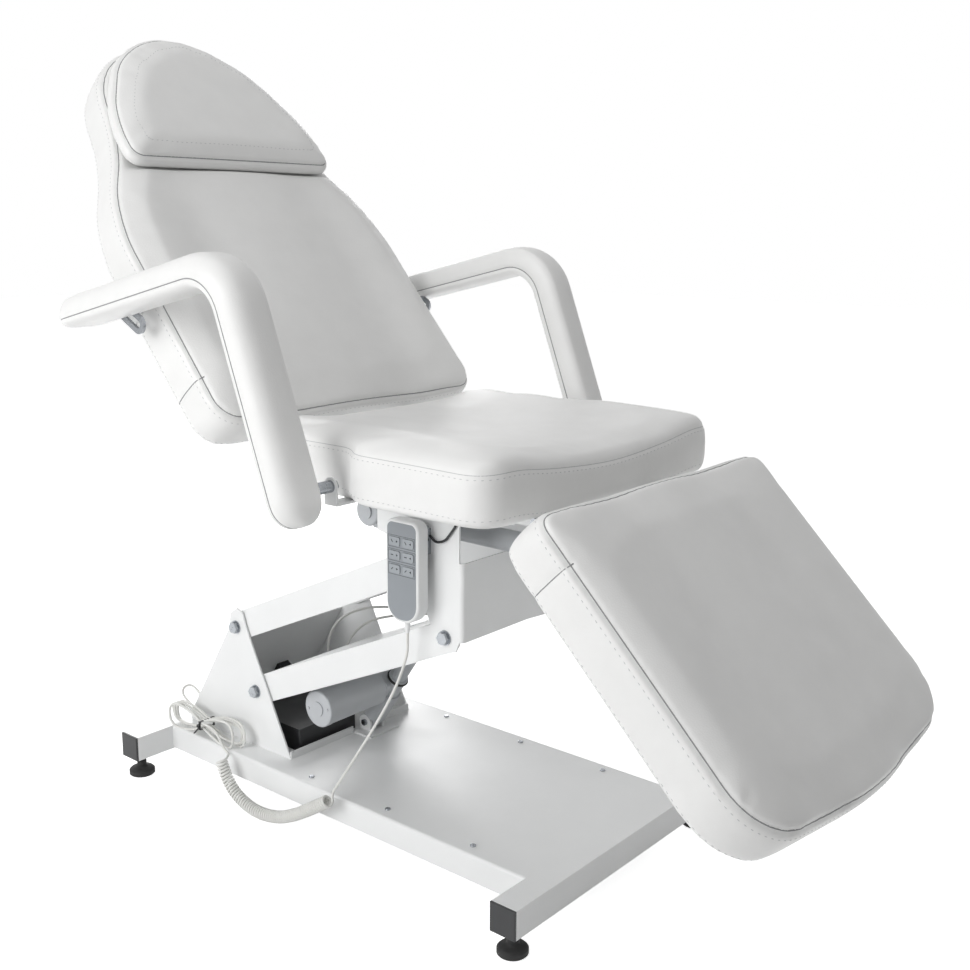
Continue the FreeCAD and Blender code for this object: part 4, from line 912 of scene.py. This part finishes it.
@dataclass
class HandsetCord:
    """The handset's white cord: a lead, a long curled stretch, and the spare length tied in a hank.

    The hank's loops differ a little from each other in reach, rise and fan, as hand-wound ones do.
    """

    wire: float = 2.3
    curl: float = 8.8
    turns: int = 56
    per_turn: int = 20
    first_turn: float = 0.125
    ease: float = 9.0
    tail: Sequence[Point] = ((-125, 425.1, 122.7), (-125, 434, 128.4), (-127, 448, 135.5), (-140, 453, 134),
                             (-153, 442, 126), (-156, 418, 117), (-157, 396, 111), (-164, 362, 108))
    hank: Point = (-166.0, 336.0, 104.0)
    loops: int = 4
    step: float = 6.0
    waist: float = 4.0
    front_reach: float = 104.0
    rear_reach: float = 90.0
    rise: float = 23.0
    fan: float = 7.0
    link_run: Sequence[Point] = ((-190, 316, 108), (-191, 296, 106), (-196, 277, 97), (-204, 252, 84))
    axis: Sequence[Point] = ((-225, 236, 78), (-225, 222, 40), (-225, 165, 10), (-225, 95, 14),
                             (-225, 25, 47), (-225, -38, 90))
    lead_top: Sequence[Point] = ((-175, -169, 392), (-175, -169, 378), (-175, -168, 354), (-182, -149, 296),
                                 (-196, -106, 213))

    def hank_route(self) -> list[Vector]:
        """The hank's loops, drawn in at the waist and fanned out at their ends.

        Returns:
            Eighteen route points for each loop.
        """
        found = []
        for k in range(self.loops):
            reach = self.front_reach - 9.0 * (k % 2) - 4.0 * (k // 2)
            other = self.rear_reach + 7.0 * (k % 3)
            rise = self.rise - 3.0 * (k % 3)
            fan = self.fan * (k % 3 - 1)
            shape = [(0.0, self.waist), (0.3, 0.75 * rise), (0.62, rise), (0.88, rise), (1.0, 0.45 * rise)]
            half = shape + [(y, -z) for y, z in reversed(shape[1:])]
            rounds = [(-y * reach, z) for y, z in half] + [(y * other, -z) for y, z in half]
            for i, (y, z) in enumerate(rounds):
                x = -self.step * (k + i / len(rounds)) + fan * (y / self.front_reach) ** 2
                found.append(spot(self.hank[0] + x, self.hank[1] + y, self.hank[2] + z))
        found.append(spot(self.hank[0] - self.step * self.loops, self.hank[1], self.hank[2] + self.waist))
        return found

    def curls(self) -> list[Vector]:
        """The curled stretch's wire.

        Returns:
            Points round a helix on the route's smooth curve, rear end first.
        """
        line = spaced(route_points([spot(*p) for p in self.axis]), 0.4 * MM)
        last = len(line) - 1
        span = self.turns - self.first_turn
        found = []
        for i in range(int(span * self.per_turn) + 1):
            turn = self.first_turn + i / self.per_turn
            at = (turn - self.first_turn) / span * (last - 1)
            index = min(int(at), last - 1)
            centre = line[index].lerp(line[index + 1], at - index)
            ahead = (line[min(index + 3, last)] - line[max(index - 3, 0)]).normalized()
            phase = 2.0 * pi * turn
            found.append(centre + (ALONG_X * cos(phase) + ahead.cross(ALONG_X) * sin(phase)) * (self.curl * MM))
        return found

    def build(self) -> None:
        radius, ease = self.wire * MM, self.ease * MM
        curls = self.curls()
        rise = (spot(*self.lead_top[-1]) - curls[-1]).normalized()
        onward = curls[-1] + (curls[-1] - curls[-2]).normalized() * ease
        front = onward + rise * ease
        back = (curls[0] - curls[1]).normalized()
        spare = [spot(*p) for p in self.tail] + self.hank_route() + [spot(*p) for p in self.link_run]
        spare += [curls[0] + back * (24.0 * MM), curls[0]]
        bundle = curve_object("handset_spare_cord", "NURBS", spare, radius)
        finish_piece(bundle, CORD_JACKET, "base")
        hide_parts("handset_cord_hank", "handset_cord_tail")
        length = line_length(route_points(spare))
        spot(*self.tail[0])
        wire = curls + route_points([curls[-1], onward, front])[1:]
        coil = tube_mesh("handset_curled_cord", wire, radius, 2)
        finish_piece(coil, CORD_JACKET, "")
        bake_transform(coil)
        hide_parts("handset_curly_cord")
        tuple(wire[0])
        line_length(wire)
        run = route_points([spot(*p) for p in self.lead_top] + [front])
        lead = tube_mesh("handset_lead_cord", run, radius, 3)
        finish_piece(lead, CORD_JACKET, "")
        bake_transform(lead)
        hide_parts("handset_lead")
        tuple(run[0])
        line_length(run)


@dataclass
class MotorLeads:
    """Two white leads from the lift motor along the lower arm, each with its place across and its run."""

    radius: float = 2.5
    pivot: Pair = (227.0, 186.0)
    slope: float = 24.3
    runs: Sequence[tuple[float, Sequence[Pair]]] = (
        (70.0, ((-50, -43), (-54, -8), (-42, 35), (-8, 68), (45, 82), (105, 80), (165, 68), (225, 50),
                (285, 34), (345, 28))),
        (95.0, ((-46, -45), (-44, -15), (-22, 20), (18, 45), (70, 56), (130, 52), (190, 41), (250, 31),
                (310, 28))))

    def place(self, x: float, along: float, normal: float) -> Vector:
        """A point given along and across the arm, in the row frame."""
        a = radians(self.slope)
        return spot(x, self.pivot[0] - along * cos(a) + normal * sin(a),
                    self.pivot[1] + along * sin(a) + normal * cos(a))

    def build(self) -> None:
        for i, (x, run) in enumerate(self.runs):
            points = [self.place(x + 2.0 * (j % 2), a, n) for j, (a, n) in enumerate(run)]
            lead = curve_object("motor_lead_%d" % (i + 1), "NURBS", points, self.radius * MM)
            finish_piece(lead, CORD_JACKET, "lower_arm")
            if i == 0:
                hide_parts("motor_leads")
            length = line_length(route_points(points))


@dataclass
class ActuatorSeal:
    """The black wiper ring where the lift's inner tube leaves the outer one."""

    pin: Point = (40.0, 128.0, 100.0)
    lean: float = 34.56
    along: float = 119.5
    radius: float = 17.4
    thick: float = 3.0

    def build(self) -> None:
        """Makes the ring round the tube."""
        a = radians(self.lean)
        middle = spot(*self.pin) + Vector((0.0, -sin(a), cos(a))) * (self.along * MM)
        across = Vector((0.0, cos(a), sin(a)))
        ring = [middle + (ALONG_X * cos(t) + across * sin(t)) * (self.radius * MM)
                for t in (pi * i / 32.0 for i in range(64))]
        seal = tube_mesh("lift_tube_wiper", ring, self.thick * MM, 2, True)
        finish_piece(seal, RUBBER, "lift_actuator")


@dataclass
class HandsetSigns:
    """Plain printed signs on the handset: a framed row for each drive, and an arrow and a bar on each key."""

    ink: float = 0.25
    line: float = 0.6
    margin: Point = (0.0, 2.2, 2.4)
    arrow: Pair = (2.3, 2.0)
    dash: Pair = (5.2, 1.5)
    rows: Sequence[tuple[str, float]] = (("back", 52.0), ("lift", 0.0), ("leg", -42.0))

    def bar(self, bm: BMesh, at: Vector, size: Vector, turn: float = 0.0) -> None:
        """Prints a flat bar.

        Args:
            bm: the print.
            at: its middle.
            size: thickness, width and height, in metres.
            turn: its slope in degrees.
        """
        lie = Matrix.Translation(at) @ Matrix.Rotation(radians(turn), 4, "X")
        made = ops.create_cube(bm, size=1.0, matrix=lie @ Matrix.Diagonal((*size, 1.0)))["verts"]
        rim = list(dict.fromkeys(e for v in made for e in v.link_edges))
        ops.bevel(bm, geom=rim, offset=0.08 * MM, segments=2, affect="EDGES", **ROUNDED)

    def build(self) -> None:
        """Prints the frames on the panel and the signs on the keys."""
        thick, line, margin = self.ink * MM, self.line * MM, Vector(self.margin) * MM
        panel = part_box("handset_face")[0].x
        frames = bmesh.new()
        for drive, slope in self.rows:
            keys = ["key_%s_%s" % (drive, way) for way in ("up", "down")]
            boxes = [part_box(key) for key in keys]
            low = Vector(map(min, *[b[0] for b in boxes])) - margin
            high = Vector(map(max, *[b[1] for b in boxes])) + margin
            middle = (low + high) / 2.0
            for z in (low.z, high.z):
                self.bar(frames, Vector((panel, middle.y, z)), Vector((thick, high.y - low.y, line)))
            for y in (low.y, high.y):
                self.bar(frames, Vector((panel, y, middle.z)), Vector((thick, line, high.z - low.z)))
            for key, box, turn in zip(keys, boxes, (180.0, 0.0)):
                self.key_sign(key, box, slope, turn)
        finish_piece(mesh_object("handset_row_frames", frames), INK, "seat")

    def key_sign(self, key: str, box: Ends, slope: float, turn: float) -> None:
        """Prints a key's arrow and bar.

        Args:
            key: the key's node and body.
            box: the key's lowest and highest corners.
            slope: the bar's slope in degrees.
            turn: the arrow's turn in degrees, 180 for up.
        """
        bm = bmesh.new()
        low, high = box
        middle = (low + high) / 2.0
        face = Vector((low.x, middle.y, middle.z))
        aside = Vector((0.0, (high.y - low.y) * 0.22, 0.0))
        lie = Matrix.Rotation(radians(90.0), 4, "Y") @ Matrix.Rotation(radians(turn), 4, "Z")
        ops.create_cone(bm, cap_ends=True, segments=3, radius1=self.arrow[0] * MM, radius2=self.arrow[1] * MM,
                        depth=self.ink * MM, matrix=Matrix.Translation(face - aside) @ lie)
        self.bar(bm, face + aside, Vector((self.ink, *self.dash)) * MM, slope)
        finish_piece(mesh_object(key + "_sign", bm), INK, key)


@dataclass(frozen=True)
class Lamp:
    """A soft square lamp: its place, what it points at and its side in metres, and its power in watts."""

    name: str
    at: Point
    aim: Point
    size: float
    power: float

    def hang(self) -> None:
        """Puts the lamp in the scene, unseen by the camera."""
        data = bpy.data.lights.new(self.name, "AREA")
        data.shape = "SQUARE"
        data.size = self.size
        data.energy = self.power
        made = link(bpy.data.objects.new(self.name, data))
        turn = (Vector(self.aim) - Vector(self.at)).to_track_quat("-Z", "Y").to_matrix().to_4x4()
        made.matrix_world = Matrix.Translation(Vector(self.at)) @ turn
        made.visible_camera = False


@dataclass
class Studio:
    """A plain pale floor, soft light and a camera at the photograph's viewing angle."""

    eye: Point = (-1460.14, -1391.42, 1001.91)
    yaw: float = -50.193
    pitch: float = 12.092
    lean: float = 0.443
    lens: float = 45.247
    ambient: float = 0.19
    floor_glow: float = 0.78
    lamps: Sequence[Lamp] = (
        Lamp("key_softbox", (-2.9, 0.5, 1.5), (0.0, 0.1, 0.6), 2.2, 62.0),
        Lamp("top_softbox", (-0.3, 0.2, 3.3), (0.0, 0.1, 0.5), 2.4, 20.0),
        Lamp("front_softbox", (0.3, -2.2, 2.8), (0.0, -0.3, 0.6), 1.8, 10.0),
        Lamp("rear_softbox", (1.5, 2.2, 1.1), (0.0, 0.0, 0.08), 1.4, 30.0))

    def camera(self) -> None:
        """Sets the camera."""
        turn = Matrix.Rotation(radians(self.yaw), 4, "Z") @ Matrix.Rotation(radians(90.0 - self.pitch), 4, "X")
        turn = turn @ Matrix.Rotation(radians(self.lean), 4, "Z")
        data = bpy.data.cameras.new("studio_camera")
        data.lens = self.lens
        data.sensor_width = 36.0
        data.clip_start = 0.05
        data.clip_end = 60.0
        eye = link(bpy.data.objects.new("studio_camera", data))
        eye.matrix_world = Matrix.Translation(spot(*self.eye)) @ turn
        bpy.context.scene.camera = eye

    def seen_white(self, tree: NodeTree) -> NodeSocket:
        """Tells the rays that see the background as white.

        Args:
            tree: the material's or world's node tree.

        Returns:
            A socket that is one for rays from the camera and for reflections.
        """
        rays = set_node(tree, "ShaderNodeLightPath").outputs
        seen = rays["Is Camera Ray"]
        for name in ("Is Glossy Ray", "Is Transmission Ray"):
            seen = set_node(tree, "ShaderNodeMath", {0: seen, 1: rays[name]}, operation="MAXIMUM").outputs[0]
        return seen

    def world(self) -> None:
        """White to the eye, dimmer as light."""
        world = bpy.data.worlds.new("studio_world")
        bpy.context.scene.world = world
        world.use_nodes = True
        tree = world.node_tree
        level = set_node(tree, "ShaderNodeMapRange", {
            "Value": self.seen_white(tree), "To Min": self.ambient, "To Max": 1.0})
        set_node(tree, "Background", {"Color": WHITE, "Strength": level.outputs["Result"]})

    def floor(self) -> None:
        """Lays the floor, white to the eye except in the object's shadow."""
        bm = bmesh.new()
        ops.create_grid(bm, x_segments=8, y_segments=8, size=14.0)
        ground = mesh_object("studio_floor", bm)
        made = bpy.data.materials.new("studio_floor_paper")
        made.use_nodes = True
        tree = made.node_tree
        glow = {0: self.seen_white(tree), 1: self.floor_glow}
        level = set_node(tree, "ShaderNodeMath", glow, operation="MULTIPLY")
        set_node(tree, "Principled BSDF", {
            "Base Color": linear("#F4F4F4"), "Roughness": 0.9, "Emission Color": WHITE,
            "Emission Strength": level.outputs[0]})
        ground.data.materials.append(made)

    def build(self) -> None:
        """Sets up the whole studio."""
        bpy.context.scene.view_settings.view_transform = "Standard"
        self.camera()
        self.world()
        self.floor()
        for lamp in self.lamps:
            lamp.hang()


def dress_frame() -> None:
    """Gives every CAD node its finish."""
    slots = {row["node"]: row["material_slot"] for row in frame["record"]["subparts"]}
    for name, node in frame["nodes"].items():
        finish = NYLON if name == "hank_tie" else SLOT_FINISH[slots[name]]
        for i in range(len(node.data.materials)):
            node.data.materials[i] = finish.material()
        log.info("%s in %s", name, finish.name)


BACK_HINGE, BACK_TILT = (118.0, 652.0), 49.4
LEG_HINGE, LEG_TILT = (-403.0, 600.0), 45.0

SEAT = Cushion(
    "seat_cover", "seat_cushion", "seat",
    ((289, -418, 42), (289, -172, 14), (266, -146, 14), (266, 78, 30)),
    608.6, 690.0, 22.0, roll=22.0, cap=5.0,
    swells=(Swell(0.0, 0.5, 0.5, 0.36, -13.0), Swell(0.8, 0.5, 0.2, 0.7, 9.0),
            Swell(0.0, 0.0, 0.55, 0.2, -12.0)),
    # The seat's seam tube is a faint painted shade for the crease's shadow.
    stitch_drop=14.5, seam_drop=9.0, seam_slant=0.0, seam_depth=1.2, seam_half=0.6, seam_shade=SEAM_SHADE_FAINT)
LEG = Cushion(
    "leg_cover", "leg_cushion", "leg_rest",
    ((288, -31, 26), (288, -508, 84), (0, -538, 60)),
    16.6, 100.0, 14.0, LEG_HINGE, LEG_TILT, roll=12.0,
    swells=(Swell(0.42, 0.5, 0.16, 0.8, -6.0), Swell(0.0, 0.5, 0.2, 0.8, 3.0),
            Swell(0.75, 0.5, 0.2, 0.8, 3.0)),
    cross_seams=((285, -110), (-285, -110)))
BACK = Cushion(
    "back_cover", "back_cushion", "back",
    ((300, 24, 46), (300, 432, 75), (214, 592, 60), (166, 836, 152)),
    -32.4, 49.0, 14.0, BACK_HINGE, BACK_TILT, roll=12.0,
    swells=(Swell(0.5, 0.3, 0.18, 0.35, -7.0), Swell(0.0, 0.3, 0.25, 0.4, 4.0),
            Swell(0.8, 0.25, 0.16, 0.35, 3.0)),
    cross_seams=((300, 110), (-300, 110)), flat_from=528.0)
PILLOW = Cushion(
    "pillow_cover", "headrest_pillow", "headrest",
    ((226, 530, 26), (226, 622, 55), (128, 806, 90), (0, 838, 34)),
    51.0, 82.0, 16.0, BACK_HINGE, BACK_TILT, roll=22.0, bulge=3.0, voxel=6.0, cap=6.0, eased=8, hem=None,
    stitch_drop=-9.0)


def main() -> None:
    """Builds the chair's looks in order."""
    logging.basicConfig(level=logging.INFO, format="%(message)s")
    Studio().build()
    HandsetCord().build()
    MotorLeads().build()
    ActuatorSeal().build()
    dress_frame()
    for cushion in (SEAT, LEG, BACK, PILLOW):
        cushion.build()
    Armrest("armrest_right", -1.0).build()
    Armrest("armrest_left", 1.0).build()
    HandsetSigns().build()


if __name__ == "__main__":
    main()
